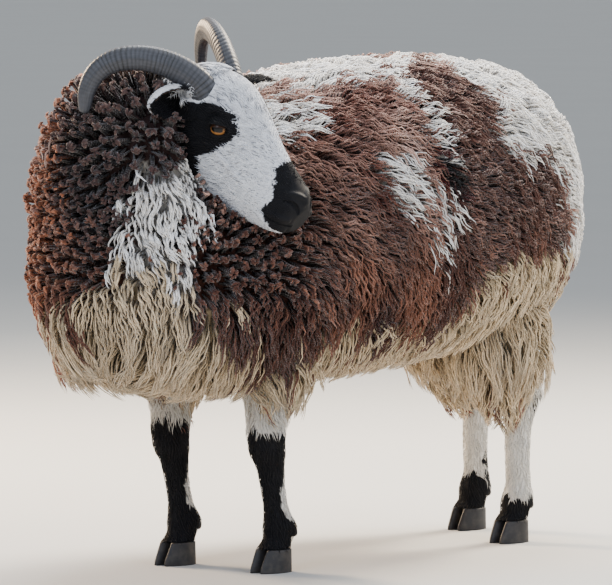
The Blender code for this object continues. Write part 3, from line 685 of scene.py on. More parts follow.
def ball(name: str, centre: Array, axes: tuple, radii: tuple) -> bpy.types.Object:
    """A ball stretched along three axes.

    Args:
        name: The object's name.
        centre: Its middle.
        axes: Three directions.
        radii: Its radius along each.

    Returns:
        The object.
    """
    bpy.ops.object.select_all(action="DESELECT")
    bpy.ops.mesh.primitive_uv_sphere_add(segments=48, ring_count=28, radius=1.0)
    obj = bpy.context.active_object
    obj.name = name
    turn = Matrix([Vector(axis * radius) for axis, radius in zip(axes, radii)]).transposed()
    obj.data.transform(Matrix.Translation(Vector(centre)) @ turn.to_4x4())
    return obj


def joined(objects: list) -> bpy.types.Object:
    """Makes one object of several, named as the first."""
    select_only(*objects)
    if len(objects) > 1:
        bpy.ops.object.join()
    return bpy.context.active_object


def modified(obj: bpy.types.Object, kind: str, **settings: object) -> bpy.types.Object:
    """Adds a modifier with its settings, and applies it.

    Args:
        obj: The object.
        kind: The modifier's type.
        settings: Its properties.

    Returns:
        The same object.
    """
    select_only(obj)
    modifier = obj.modifiers.new(kind.title(), kind)
    for name, value in settings.items():
        setattr(modifier, name, value)
    bpy.ops.object.modifier_apply(modifier=modifier.name)
    return obj


def fused(obj: bpy.types.Object, others: list, operation: str) -> bpy.types.Object:
    """Joins closed objects to obj or cuts them from it, and removes them.

    Args:
        obj: The object that stays.
        others: The objects that are used up.
        operation: UNION or DIFFERENCE.

    Returns:
        The same object.
    """
    for other in others:
        modified(obj, "BOOLEAN", operation=operation, object=other, solver="MANIFOLD")
        bpy.data.objects.remove(other)
    return obj


def reskinned(obj: bpy.types.Object, voxel: float, smooth: int) -> bpy.types.Object:
    """Melts an object's overlapping forms into one even surface.

    Args:
        obj: The object.
        voxel: The new surface's grain in metres.
        smooth: How many rounds of smoothing it gets.

    Returns:
        The same object.
    """
    modified(obj, "REMESH", mode="VOXEL", voxel_size=voxel)
    return modified(obj, "SMOOTH", factor=0.5, iterations=smooth)


class Tint(Enum):
    """Wool and hair colours, as sRGB hex values."""

    BLACK_WOOL = "#402C2A"
    DARK_BROWN = "#4C2A20"
    BROWN = "#80523F"
    PALE_BROWN = "#BC9A8C"
    # Rust-brown wool, warmed and lightened to stand also for a painted backlit rim glow.
    RUST = "#94583C"
    BLEACHED = "#C09A88"
    CREAM = "#CFB997"
    WHITE = "#F4F0EA"
    FACE_WHITE = "#E2E4E8"
    FACE_GREY = "#82848C"
    BLACK_HAIR = "#0D0D11"
    LEG_WHITE = "#DAD6CE"
    EAR_RIM = "#6B5548"

    @property
    def light(self) -> tuple[float, float, float]:
        """The colour in linear light."""
        return linear(self.value)


@dataclass(frozen=True)
class Patch:
    """One marking of the fleece: an egg-shaped region with a ragged edge.

    Attributes:
        centre: Its middle, on the outside of the fleece.
        radii: Its half sizes along x, y and z.
        colour: The wool's colour in it.
        pure: How many of its strands have the colour, from 0 to 1.
        ragged: How uneven its edge is.
    """

    centre: tuple
    radii: tuple
    colour: Tint
    pure: float = 1.0
    ragged: float = 0.22


@dataclass
class Markings:
    """Where her fleece, face and legs are white, brown and black.

    Attributes:
        fleece: The patches of the fleece, each laid over those before it.
        muzzle_heights: Heights on the face where the black muzzle's edge is known.
        muzzle_edges: How far from the poll the black starts at each of them.
        eye_patch: The outline of the black round an eye, as places along and up.
        black_below: How high the black of each foot reaches.
        spots: Small marks on the legs: leg, middle from the foot, half sizes, colour.
    """

    fleece: tuple = (
        Patch((0.20, -0.38, 0.44), (0.11, 0.15, 0.15), Tint.DARK_BROWN, 0.8),
        Patch((0.17, 0.09, 0.58), (0.14, 0.14, 0.18), Tint.DARK_BROWN),
        Patch((0.03, -0.53, 0.62), (0.11, 0.13, 0.17), Tint.BLACK_WOOL),
        Patch((0.01, -0.40, 0.66), (0.10, 0.10, 0.10), Tint.BLACK_WOOL, 0.8),
        # The neck's far edge: rust-brown wool with a painted warm backlit rim glow.
        Patch((-0.14, -0.50, 0.52), (0.10, 0.16, 0.20), Tint.RUST, 0.8),
        Patch((0.015, -0.11, 0.72), (0.105, 0.19, 0.060), Tint.WHITE),
        Patch((0.125, -0.265, 0.650), (0.06, 0.06, 0.045), Tint.WHITE, 0.9),
        Patch((0.140, -0.030, 0.695), (0.065, 0.024, 0.035), Tint.WHITE, 0.9, 0.3),
        Patch((0.210, -0.036, 0.635), (0.05, 0.028, 0.050), Tint.WHITE, 0.9, 0.3),
        Patch((0.10, 0.28, 0.66), (0.21, 0.20, 0.12), Tint.WHITE, 1.0, 0.14),
        Patch((0.11, 0.36, 0.55), (0.19, 0.14, 0.16), Tint.WHITE, 1.0, 0.16),
        Patch((-0.08, 0.32, 0.58), (0.20, 0.20, 0.18), Tint.WHITE),
        Patch((0.223, 0.125, 0.610), (0.05, 0.036, 0.046), Tint.WHITE, 0.9),
        Patch((0.225, 0.186, 0.530), (0.05, 0.026, 0.068), Tint.DARK_BROWN, 0.95),
        Patch((0.24, -0.138, 0.560), (0.06, 0.040, 0.046), Tint.WHITE, 0.95),
        Patch((0.25, -0.065, 0.490), (0.05, 0.048, 0.065), Tint.WHITE, 0.5),
        Patch((0.16, 0.17, 0.335), (0.18, 0.155, 0.110), Tint.CREAM),
        Patch((0.03, 0.27, 0.26), (0.22, 0.20, 0.10), Tint.CREAM),
        Patch((0.225, -0.020, 0.40), (0.08, 0.042, 0.10), Tint.DARK_BROWN, 0.9),
        Patch((0.08, -0.15, 0.25), (0.20, 0.32, 0.105), Tint.CREAM, 0.95),
        Patch((0.03, -0.48, 0.27), (0.22, 0.15, 0.110), Tint.CREAM),
        Patch((0.19, -0.345, 0.315), (0.06, 0.070, 0.060), Tint.DARK_BROWN, 0.8),
        Patch((0.135, -0.50, 0.540), (0.065, 0.070, 0.080), Tint.WHITE),
        Patch((0.112, -0.53, 0.44), (0.055, 0.06, 0.11), Tint.WHITE, 0.9),
        Patch((0.095, -0.53, 0.35), (0.075, 0.07, 0.08), Tint.CREAM),
        Patch((-0.22, -0.12, 0.60), (0.08, 0.07, 0.07), Tint.WHITE, 0.9),
        Patch((-0.24, 0.03, 0.45), (0.07, 0.06, 0.08), Tint.WHITE, 0.8),
        Patch((-0.20, -0.33, 0.36), (0.09, 0.10, 0.10), Tint.CREAM, 0.9),
        Patch((-0.16, 0.17, 0.32), (0.16, 0.18, 0.13), Tint.CREAM),
    )
    muzzle_heights: tuple = (-0.12, -0.1005, -0.095, -0.082, -0.061, -0.049, -0.030, 0.0)
    muzzle_edges: tuple = (0.245, 0.224, 0.209, 0.197, 0.206, 0.195, 0.178, 0.183)
    eye_patch: tuple = (
        (0.031, -0.029),
        (0.049, -0.013),
        (0.073, -0.002),
        (0.094, -0.003),
        (0.1145, -0.019),
        (0.107, -0.041),
        (0.0975, -0.064),
        (0.084, -0.0785),
        (0.098, -0.110),
        (0.080, -0.122),
        (0.050, -0.132),
        (0.010, -0.135),
        (-0.040, -0.120),
        (-0.045, -0.050),
        (0.010, -0.032),
    )
    black_below: dict = field(
        default_factory=lambda: {
            Leg.FORE_LEFT: 0.201,
            Leg.FORE_RIGHT: 0.212,
            Leg.HIND_LEFT: 0.066,
            Leg.HIND_RIGHT: 0.084,
        }
    )
    spots: tuple = (
        (Leg.FORE_LEFT, (0.012, 0.000, 0.110), (0.013, 0.014, 0.034), Tint.LEG_WHITE),
        (Leg.FORE_RIGHT, (0.012, -0.001, 0.112), (0.012, 0.014, 0.030), Tint.LEG_WHITE),
        (Leg.HIND_LEFT, (0.006, 0.028, 0.205), (0.020, 0.018, 0.024), Tint.BLACK_HAIR),
        (Leg.HIND_RIGHT, (0.012, 0.010, 0.107), (0.010, 0.012, 0.011), Tint.BLACK_HAIR),
    )

    def of_fleece(self, points: Array, dice: np.random.Generator) -> Array:
        """Colours of the wool.

        Args:
            points: Where each strand shows, on the outside of the fleece.
            dice: The source of chance for strands that mix at an edge.

        Returns:
            One linear colour for each point.
        """
        shade = ripple(points, 0.16, 5)[:, None] * 0.5 + 0.5
        high = eased(points[:, 2], 0.42, 0.60)[:, None] * 0.75
        pale = (1 - high) * np.array(Tint.BROWN.light)
        pale = pale + high * np.array(Tint.PALE_BROWN.light)
        colours = (1 - shade) * np.array(Tint.DARK_BROWN.light) * (1 + high)
        colours = colours + shade * pale
        draw = dice.uniform(0, 1, len(points))
        for number, patch in enumerate(self.fleece):
            distance = np.linalg.norm((points - patch.centre) / patch.radii, axis=1)
            distance += patch.ragged * ripple(points, 0.055, 20 + number)
            weight = np.clip((1.06 - distance) / 0.16, 0, 1) * patch.pure
            colours[weight > draw] = patch.colour.light
            draw = dice.permutation(draw)
        return colours

    def of_head(self, places: Array) -> tuple[Array, Array]:
        """Colours of the short hair on the head.

        Args:
            places: Rows of along, out and up in the head's axes.

        Returns:
            One linear colour for each place, and how bare the skin is there.
        """
        edge = 0.0016 * ripple(places, 0.006, 3) + 0.0012 * ripple(places, 0.014, 4)
        along, up = places[:, 0] + edge, places[:, 2] + 0.7 * edge
        colours = np.tile(Tint.FACE_WHITE.light, (len(places), 1))
        start = np.interp(up, self.muzzle_heights, self.muzzle_edges)
        black = (along > start) | within_outline(along, up, self.eye_patch)
        colours[black] = Tint.BLACK_HAIR.light
        bare = np.clip((places[:, 0] - start - 0.022) / 0.012, 0, 1)
        return colours, bare

    def of_leg(self, leg: Leg, points: Array) -> Array:
        """Colours of the short hair on one leg, one linear colour for each point."""
        colours = np.tile(Tint.LEG_WHITE.light, (len(points), 1))
        edge = ripple(points, 0.02, 8 + len(leg.value))
        low = points[:, 2] + 0.006 * edge < self.black_below[leg]
        colours[low] = Tint.BLACK_HAIR.light
        for owner, centre, radii, colour in self.spots:
            if owner is leg:
                far = np.linalg.norm((points - FEET[leg] - centre) / radii, axis=1)
                colours[far + 0.18 * edge < 1] = colour.light
        return colours


@dataclass
class Skin:
    """Her skin, as one surface, with the folds of her face and the cups of her ears.

    Attributes:
        body: The form of her trunk, neck, legs and tail.
        head: The form of her head.
        body_grain: The size of the faces under the fleece.
        leg_grain: The size of the faces on her legs.
        head_grain: The size of the faces on her head.
        ear: Length and thickness of an ear.
        ear_widths: Half widths of the right ear and of the left, which is folded back.
        ear_place: Where an ear's root is: along, out and up.
        ear_curl: How far round its axis an ear's edges come at its root and its tip, in degrees.
        ear_aim: Where the right and the left ear point, as shares out, ahead and up.
        ear_facing: Where their cups open.
        ear_bounds: How far from its root its own hair starts, and how far from its axis
            it reaches.
        brow: The bone over an eye, as places along and up with a radius.
        crest: The ridge of bone from below an eye towards the mouth.
        jaw: The muscle and edge of the jaw.
        upper_lip: The fold of the upper lip.
        lower_lip: The fold of the lower lip and the chin.
        nostril_wing: The fold over a nostril.
        tear_fold: The fold before an eye's inner corner.
        mouth: The line between the lips, which is cut in.
        nostril: The slit of a nostril, which is cut in.
    """

    body: BodyForm
    head: HeadForm
    body_grain: float = 0.0085
    leg_grain: float = 0.0028
    head_grain: float = 0.0019
    ear: tuple = (0.088, 0.0045)
    ear_widths: tuple = (0.0225, 0.0140)
    ear_place: tuple = (0.020, 0.032, -0.034)
    ear_curl: tuple = (118.0, 72.0)
    ear_aim: tuple = ((0.93, 0.08, 0.0), (0.93, 0.30, -0.09))
    ear_facing: tuple = ((0.10, 0.80, -0.45), (0.10, 0.30, -0.92))
    ear_bounds: tuple = (0.018, 0.031)
    brow: tuple = (
        (0.056, -0.021, 0.0040),
        (0.066, -0.013, 0.0070),
        (0.078, -0.009, 0.0085),
        (0.090, -0.011, 0.0070),
        (0.102, -0.019, 0.0035),
    )
    crest: tuple = (
        (0.078, -0.055, 0.0040),
        (0.098, -0.058, 0.0065),
        (0.122, -0.064, 0.0065),
        (0.146, -0.070, 0.0055),
        (0.165, -0.074, 0.0030),
    )
    jaw: tuple = (
        (0.010, -0.095, 0.012),
        (0.040, -0.105, 0.017),
        (0.070, -0.118, 0.015),
        (0.098, -0.128, 0.009),
    )
    upper_lip: tuple = (
        (0.2370, -0.0740, 0.0050),
        (0.2260, -0.0765, 0.0068),
        (0.2120, -0.0790, 0.0062),
        (0.1960, -0.0800, 0.0045),
    )
    lower_lip: tuple = (
        (0.2350, -0.0930, 0.0050),
        (0.2230, -0.0960, 0.0062),
        (0.2080, -0.0970, 0.0052),
        (0.1920, -0.0950, 0.0035),
    )
    nostril_wing: tuple = (
        (0.2370, -0.0530, 0.0036),
        (0.2300, -0.0455, 0.0048),
        (0.2200, -0.0440, 0.0042),
        (0.2100, -0.0480, 0.0028),
    )
    tear_fold: tuple = (
        (0.101, -0.0330, 0.0022),
        (0.109, -0.0390, 0.0030),
        (0.118, -0.0470, 0.0022),
    )
    mouth: tuple = (
        (0.2440, -0.0835, 0.0030),
        (0.2360, -0.0845, 0.0021),
        (0.2260, -0.0860, 0.0017),
        (0.2120, -0.0880, 0.0015),
        (0.1980, -0.0885, 0.0013),
        (0.1850, -0.0865, 0.0008),
    )
    nostril: tuple = (
        (0.2405, -0.0640, 0.0016),
        (0.2365, -0.0575, 0.0034),
        (0.2310, -0.0530, 0.0038),
        (0.2250, -0.0515, 0.0028),
        (0.2170, -0.0540, 0.0011),
    )

    def fold(self, name: str, rows: tuple, side: int, sink: float = 0.6) -> bpy.types.Object:
        """A soft ridge or groove on the side of the head.

        Args:
            name: Its name.
            rows: Places along and up, each with a radius.
            side: 1 for her right and -1 for her left.
            sink: How deep its middle line lies, as a share of the radius.

        Returns:
            The rod that is melted in or cut out.
        """
        rows = np.array(rows)
        fine = smooth_curve(rows, np.linspace(0, 1, 4 * len(rows)))
        points = [self.head.on_side(a, u, side, sink * r) for a, u, r in fine]
        return rod(name, np.array(points), np.maximum(fine[:, 2], 0.0005))

    def ear_axes(self, side: int) -> tuple[Array, Array, Array]:
        """Directions of one ear: along its length, out of its cup, and across it."""
        head = self.head
        number = 0 if side > 0 else 1
        axes = np.stack([head.right * side, head.forward, head.upright])
        length = unit(np.array(self.ear_aim[number]) @ axes)
        facing = np.array(self.ear_facing[number]) @ axes
        facing = unit(facing - length * (facing @ length))
        return length, facing, np.cross(length, facing)

    def in_ear(self, points: Array, side: int) -> tuple[Array, Array]:
        """Finds one ear among points on the head.

        Args:
            points: Places on the skin.
            side: 1 for her right ear and -1 for her left.

        Returns:
            Which points are on the ear, and how far out along it each point is.
        """
        length = self.ear_axes(side)[0]
        away = points - self.head.place(*self.ear_place, side)
        run = away @ length
        wide = np.linalg.norm(away - run[:, None] * length, axis=1)
        start, reach = self.ear_bounds
        return (run > start) & (wide < reach), run

    def make_ear(self, side: int) -> bpy.types.Object:
        """One ear: a leaf rolled into a cup that opens forwards."""
        long, thick = self.ear
        wide = self.ear_widths[0 if side > 0 else 1]
        length, facing, across = self.ear_axes(side)
        root = self.head.place(*self.ear_place, side)
        rings = []
        for t in np.linspace(0, 1, 25):
            width = wide * (0.50 + 0.62 * math.sin(math.pi * min(1.0, t * 1.02 + 0.06)) ** 0.9)
            width *= 1.0 if t < 0.75 else math.sqrt(max(0.02, 1 - ((t - 0.75) / 0.262) ** 2))
            curl = math.radians(self.ear_curl[0] + (self.ear_curl[1] - self.ear_curl[0]) * t)
            centre = root + length * (long * t) - facing * (0.10 * long * t * t)
            angles = curl * np.linspace(-1, 1, 17)
            out = -facing * np.cos(angles)[:, None] + across * np.sin(angles)[:, None]
            depth = thick * (0.35 + 0.65 * np.cos(math.pi * np.linspace(-0.5, 0.5, 17)))
            outer, inner = centre + out * width, centre + out * (width - depth)[:, None]
            rings.append(np.vstack([outer, inner[::-1]]))
        return tube("ear", np.array(rings))

    def make_head(self) -> bpy.types.Object:
        """The head, with its bones, folds, lids, lips, nostrils and ears."""
        head = self.head
        parts = [tube("skin", head.rings(70, 56))]
        grooves = []
        for side in (1, -1):
            centre, axes = head.eye_centre(side), head.eye_axes(side)
            lids = [head.eye_radius + head.lid_thick + more for more in head.lid_reach]
            parts.append(ball("lids", centre, axes, lids))
            parts.append(self.lid_edge(side))
            ridges = (self.brow, self.crest, self.upper_lip, self.lower_lip)
            parts += [self.fold("ridge", rows, side) for rows in ridges]
            parts.append(self.fold("jaw", self.jaw, side, 0.75))
            parts += [self.fold("fold", rows, side) for rows in (self.nostril_wing, self.tear_fold)]
            parts.append(self.make_ear(side))
            front = centre + axes[1] * head.eye_radius
            grooves.append(ball("opening", front, axes, head.opening))
            grooves.append(ball("socket", centre, axes, (head.eye_radius + 0.0003,) * 3))
            grooves.append(self.fold("mouth", self.mouth, side, 0.25))
            grooves.append(self.fold("nostril", self.nostril, side, 0.1))
        skin = reskinned(joined(parts), self.head_grain, 3)
        return fused(skin, grooves, "DIFFERENCE")

    def lid_edge(self, side: int) -> bpy.types.Object:
        """The thick edge of the lids, round the opening."""
        head = self.head
        centre, (slit, out, up) = head.eye_centre(side), head.eye_axes(side)
        wide, _, tall = head.opening
        angle = np.linspace(0, math.tau, 41)[:-1]
        reach = head.eye_radius + 0.0006
        across, high = np.cos(angle) * wide * 0.85, np.sin(angle) * tall * 0.96
        deep = reach * np.sqrt(1 - (across / (1.32 * reach)) ** 2 - (high / (1.12 * reach)) ** 2)
        line = centre + across[:, None] * slit + high[:, None] * up + deep[:, None] * out
        over = np.maximum(np.sin(angle) * np.sign(up @ head.dorsal), 0)
        radius = 0.0015 - 0.0004 * np.cos(angle) ** 8 + 0.0014 * over
        ring = []
        for i, point in enumerate(line):
            ahead = unit(line[(i + 1) % 40] - line[i - 1])
            away = unit(np.cross(ahead, unit(point - centre)))
            lift = unit(np.cross(away, ahead))
            turn = np.arange(8) * math.tau / 8
            ring.append(
                point + radius[i] * (np.cos(turn)[:, None] * away + np.sin(turn)[:, None] * lift)
            )
        verts = np.array(ring).reshape(-1, 3)
        faces = [
            (i * 8 + k, i * 8 + (k + 1) % 8, (i + 1) % 40 * 8 + (k + 1) % 8, (i + 1) % 40 * 8 + k)
            for i in range(40)
            for k in range(8)
        ]
        return mesh_object("lid_edge", verts, faces)

    def make_body(self) -> bpy.types.Object:
        """The skin under the fleece."""
        form = self.body
        parts = [tube("body", form.trunk_loft().rings(50, 48, -FLEECE_DEPTH))]
        parts.append(tube("neck", form.neck_loft().rings(30, 40, -FLEECE_DEPTH)))
        parts.append(tube("throat", form.throat_loft().rings(20, 32, -FLEECE_DEPTH)))
        for leg in Leg:
            rings = form.breeches_loft(leg).rings(14, 24, -LEG_WOOL_DEPTH)
            parts.append(tube("breeches", rings))
        parts.append(tube("tail", form.tail_loft().rings(24, 24, -TAIL_WOOL_DEPTH)))
        return reskinned(joined(parts), self.body_grain, 6)

    def make_legs(self) -> dict:
        """The skin of the four legs, one object for each."""
        legs = {}
        for leg in Leg:
            obj = tube("leg", self.body.leg_loft(leg).rings(60, 32))
            legs[leg] = reskinned(obj, self.leg_grain, 2)
        return legs


@dataclass
class Roots:
    """Where tufts grow.

    Attributes:
        points: Their places on the skin.
        normals: The skin's outward directions there.
    """

    points: Array
    normals: Array

    def chosen(self, mask: Array) -> "Roots":
        """Those roots that mask is true for."""
        return Roots(self.points[mask], self.normals[mask])

    def __len__(self) -> int:
        """How many roots there are."""
        return len(self.points)


def scattered(obj: bpy.types.Object, spacing: float, seed: int) -> Roots:
    """Places spread evenly but irregularly over a surface.

    Args:
        obj: The surface.
        spacing: The mean distance in metres between neighbours.
        seed: Which spread.

    Returns:
        The places, with the surface's smooth normals.
    """
    mesh = obj.data
    mesh.calc_loop_triangles()
    verts, normals = point_field(obj), normal_field(obj)
    corners = np.empty(len(mesh.loop_triangles) * 3, dtype=np.int32)
    mesh.loop_triangles.foreach_get("vertices", corners)
    corners = corners.reshape(-1, 3)
    a, b, c = (verts[corners[:, k]] for k in range(3))
    areas = np.linalg.norm(np.cross(b - a, c - a), axis=1) / 2
    dice = np.random.default_rng(seed)
    tries = int(3.2 * areas.sum() / spacing**2)
    pick = np.sort(dice.choice(len(areas), tries, p=areas / areas.sum()))
    pick = dice.permutation(pick)
    u, v = dice.uniform(0, 1, (2, tries))
    flip = u + v > 1
    u[flip], v[flip] = 1 - u[flip], 1 - v[flip]
    w = 1 - u - v
    shares = np.stack([w, u, v], 1)[:, :, None]
    points = (verts[corners[pick]] * shares).sum(axis=1)
    facing = unit((normals[corners[pick]] * shares).sum(axis=1))
    keep = spread_out(points, 0.78 * spacing)
    return Roots(points[keep], facing[keep])


def spread_out(points: Array, least: float) -> Array:
    """Picks points that are no closer together than least.

    Args:
        points: The candidates, in order of preference.
        least: The least distance in metres.

    Returns:
        The numbers of the points that stay.
    """
    cells: dict = {}
    kept = []
    keys = np.floor(points / least).astype(int)
    around = [(i, j, k) for i in (-1, 0, 1) for j in (-1, 0, 1) for k in (-1, 0, 1)]
    for number, (point, key) in enumerate(zip(points.tolist(), keys.tolist())):
        x, y, z = point
        near = False
        for i, j, k in around:
            other = cells.get((key[0] + i, key[1] + j, key[2] + k))
            if other is not None:
                gap = (other[0] - x) ** 2 + (other[1] - y) ** 2 + (other[2] - z) ** 2
                if gap < least * least:
                    near = True
                    break
        if not near:
            cells[tuple(key)] = point
            kept.append(number)
    return np.array(kept)


@dataclass
class Growth:
    """How each tuft of a coat grows, one value for each root.

    Attributes:
        length: From root to tip along the lie, in metres.
        rise: How high over the skin it stands.
        width: Its widest.
        wave: How far it swings to either side.
        turns: How many times it swings.
        gather: How far its tip is drawn to the tip of its lock, from 0 to 1.
        dome: How far its lock is curled up into a round knob, from 0 to 1.
        lock: The distance between locks.
        sag: How far its tip hangs, as a share of its length.
        bend: The radius that the body curves away with.
        marks: Where along it its rings are, from 0 at the root to 1 at the tip.
    """

    length: Array
    rise: Array
    width: Array
    wave: Array
    turns: Array
    gather: Array
    dome: Array
    lock: Array
    sag: Array
    bend: Array
    marks: tuple = (0.0, 0.34, 0.50, 0.64, 0.77, 0.89, 1.0)


@dataclass
class Coat:
    """Tufts that grow from roots, in locks, and lie along the body.

    Attributes:
        roots: Where they grow.
        lie: The direction that the coat lies in at each root.
        growth: How they grow.
        seed: The source of chance.
        outline: A tuft's width at each ring as a share of its widest.
    """

    roots: Roots
    lie: Array
    growth: Growth
    seed: int
    outline: tuple = (0.60, 0.95, 1.0, 0.92, 0.74, 0.46)

    def locks(self) -> tuple[Array, Array]:
        """Shares the tufts out among locks.

        Returns:
            The root that each lock is centred on, and each tuft's lock.
        """
        points, sizes = self.roots.points, self.growth.lock
        heads = []
        for size in np.unique(sizes):
            own = np.flatnonzero(sizes == size)
            heads.append(own[spread_out(points[own], size * 0.8)])
        heads = np.concatenate(heads)
        tree = KDTree(len(heads))
        for number, root in enumerate(heads):
            tree.insert(points[root], number)
        tree.balance()
        return heads, np.array([tree.find(point)[1] for point in points])

    def line(self, which: Array, turn: Array, long: Array, tall: Array) -> Array:
        """Plain tufts that rise from the skin and bend over along the lie.

        Args:
            which: The roots' numbers.
            turn: How far each is turned from the lie, in radians.
            long: How much longer each is than the coat's length there.
            tall: How much higher each rises.

        Returns:
            Points by tuft and by place along it.
        """
        g, t = self.growth, np.array(self.growth.marks)
        points, normals, lie = self.roots.points[which], self.roots.normals[which], self.lie[which]
        across = np.cross(normals, lie)
        way = unit(lie * np.cos(turn)[:, None] + across * np.sin(turn)[:, None])
        length = g.length[which] * long
        shift = length[:, None] * t**1.35
        height = (g.rise[which] * tall)[:, None] * np.sin(np.minimum(t / 0.62, 1.0) * math.pi / 2)
        height = height - shift**2 / (2 * g.bend[which][:, None])
        drop = (g.sag[which] * length)[:, None] * t**2
        return (
            points[:, None]
            + normals[:, None] * height[:, :, None]
            + way[:, None] * shift[:, :, None]
            - UP * drop[:, :, None]
        )

    def knob(self, heads: Array, owner: Array, tall: Array, dice: np.random.Generator) -> Array:
        """Tufts that run up the middle of a lock and down over its rounded end.

        Args:
            heads: The root that each lock is centred on.
            owner: Each tuft's lock.
            tall: How much higher each lock stands.
            dice: The source of chance.

        Returns:
            Points by tuft and by place along it.
        """
        g, t = self.growth, np.array(self.growth.marks)[None, :, None]
        count, points = len(self.roots), self.roots.points
        middle = heads[owner]
        lean = dice.normal(0, 0.22, (len(heads), 3))[owner]
        crest = unit(self.roots.normals[middle] + 0.42 * self.lie[middle] + lean)
        size = (g.lock[middle] * 0.54 * dice.uniform(0.85, 1.15, len(heads))[owner])[:, None, None]
        away = points - points[middle] + dice.normal(0, 0.0022, (count, 3))
        away = unit(away - crest * (away * crest).sum(axis=1, keepdims=True))
        sideways = np.cross(crest, away)
        hub = points[middle] + self.roots.normals[middle] * (g.rise[middle] * tall[owner])[:, None]
        hub = hub[:, None] - crest[:, None] * size * 0.8
        fall = dice.uniform(0.5, 2.0, count)[:, None, None] * np.clip((t - 0.30) / 0.70, 0, 1)
        spin = dice.normal(0, 1.1, len(heads))[owner] + dice.normal(0, 0.3, count)
        spin = spin[:, None, None] * t
        out = away[:, None] * np.cos(spin) + sideways[:, None] * np.sin(spin)
        bulb = hub + size * (np.sin(fall) * out + np.cos(fall) * crest[:, None])
        stem = points[:, None] + (hub - points[:, None]) * np.minimum(1, t / 0.45)
        share = np.clip((t - 0.18) / 0.28, 0, 1)
        share = share * share * (3 - 2 * share)
        return stem + (bulb - stem) * share

    def paths(self) -> tuple[Array, Array]:
        """The middle lines of the tufts.

        Returns:
            Points by tuft and by place along it, and each tuft's lock.
        """
        g, dice = self.growth, np.random.default_rng(self.seed)
        count, t = len(self.roots), np.array(self.growth.marks)
        heads, owner = self.locks()
        turn = dice.normal(0, 0.24, len(heads))
        long = dice.uniform(0.82, 1.16, len(heads))
        tall = dice.uniform(0.86, 1.10, len(heads))
        own = self.line(
            np.arange(count),
            turn[owner] + dice.normal(0, 0.12, count),
            long[owner] * dice.uniform(0.84, 1.10, count),
            tall[owner] * dice.uniform(0.88, 1.06, count),
        )
        axes = self.line(heads, turn, long, tall)
        pull = (t**1.3)[None, :, None] * g.gather[:, None, None]
        path = own + (axes[owner] - own) * pull
        phase = 2.4 * ripple(self.roots.points, 0.035, 77) + dice.normal(0, 0.45, count)
        swing = math.tau * g.turns[:, None] * t[None] + phase[:, None]
        reach = g.wave[:, None] * np.minimum(1, 1.6 * t)[None]
        across = unit(np.cross(self.roots.normals, self.lie))
        path += across[:, None] * (np.sin(swing) * reach)[:, :, None]
        path += self.roots.normals[:, None] * (np.cos(swing) * reach * 0.55)[:, :, None]
        if g.dome.any():
            path += (self.knob(heads, owner, tall, dice) - path) * g.dome[:, None, None]
        return path, owner

    def make(
        self, name: str, paths: Array, colours: Array, unwrap: Array, mask: Array
    ) -> bpy.types.Object:
        """Turns some of the tufts into one piece of solid mesh.

        Args:
            name: The piece's name.
            paths: The middle lines of all tufts.
            colours: A colour for each tuft at each point of its line.
            unwrap: Each root's place on an unwrap of the skin, from 0 to 1.
            mask: Which tufts belong to the piece.

        Returns:
            The piece.
        """
        paths, colours, unwrap = paths[mask], colours[mask], unwrap[mask]
        normals, width = self.roots.normals[mask], self.growth.width[mask]
        count, steps = paths.shape[:2]
        rings = steps - 1
        ahead = unit(np.gradient(paths, axis=1))
        side = unit(np.cross(ahead, normals[:, None]))
        lift = np.cross(side, ahead)
        shape = np.interp(
            self.growth.marks[:rings], np.linspace(0, 0.9, len(self.outline)), self.outline
        )
        half = width[:, None] * shape[None] / 2
        turn = math.pi / 2 + np.arange(3) * math.tau / 3
        ring = (
            paths[:, :rings, None]
            + (side[:, :rings, None] * np.cos(turn)[:, None]) * half[:, :, None, None]
            + (lift[:, :rings, None] * np.sin(turn)[:, None]) * half[:, :, None, None] * 0.75
        )
        size = rings * 3 + 1
        verts = np.concatenate([ring.reshape(count, -1, 3), paths[:, -1:]], axis=1)
        faces = [(0, 1, 2)]
        for r in range(rings - 1):
            for k in range(3):
                low, next_low = r * 3 + k, r * 3 + (k + 1) % 3
                faces.append((low, low + 3, next_low + 3, next_low))
        tip = size - 1
        faces += [((rings - 1) * 3 + k, tip, (rings - 1) * 3 + (k + 1) % 3) for k in range(3)]
        corners = np.concatenate([np.array(face) for face in faces])
        lengths = np.array([len(face) for face in faces])
        all_corners = (corners[None] + np.arange(count)[:, None] * size).ravel()
        starts = np.concatenate([[0], np.cumsum(np.tile(lengths, count))[:-1]])
        mesh = bpy.data.meshes.new(name)
        mesh.vertices.add(count * size)
        mesh.vertices.foreach_set("co", verts.astype(np.float32).ravel())
        mesh.loops.add(len(all_corners))
        mesh.loops.foreach_set("vertex_index", all_corners.astype(np.int32))
        mesh.polygons.add(len(starts))
        mesh.polygons.foreach_set("loop_start", starts.astype(np.int32))
        mesh.update(calc_edges=True)
        mesh.shade_smooth()
        tint = np.ones((count, size, 4), dtype=np.float32)
        tint[:, :-1, :3] = np.repeat(colours[:, :rings], 3, axis=1)
        tint[:, -1, :3] = colours[:, -1]
        layer = mesh.attributes.new(PELT, "FLOAT_COLOR", "POINT")
        layer.data.foreach_set("color", tint.ravel())
        within = np.array(
            [(k / 3, r / rings) for r in range(rings) for k in range(3)] + [(0.5, 1.0)]
        )
        strand = np.zeros((count, size, 4), dtype=np.float32)
        strand[:, :-1, 0] = np.repeat(half, 3, axis=1) * np.tile(np.cos(turn), rings)
        gone = np.linalg.norm(np.diff(paths, axis=1), axis=2).cumsum(axis=1)
        strand[:, 3:-1, 1] = np.repeat(gone[:, : rings - 1], 3, axis=1)
        strand[:, -1, 1] = gone[:, -1]
        strand[:, :, 2] = np.random.default_rng(self.seed).uniform(0, 9, count)[:, None]
        layer = mesh.attributes.new(STRAND, "FLOAT_COLOR", "POINT")
        layer.data.foreach_set("color", strand.ravel())
        places = unwrap[:, None] + (within[None] - 0.5) * TUFT_PATCH
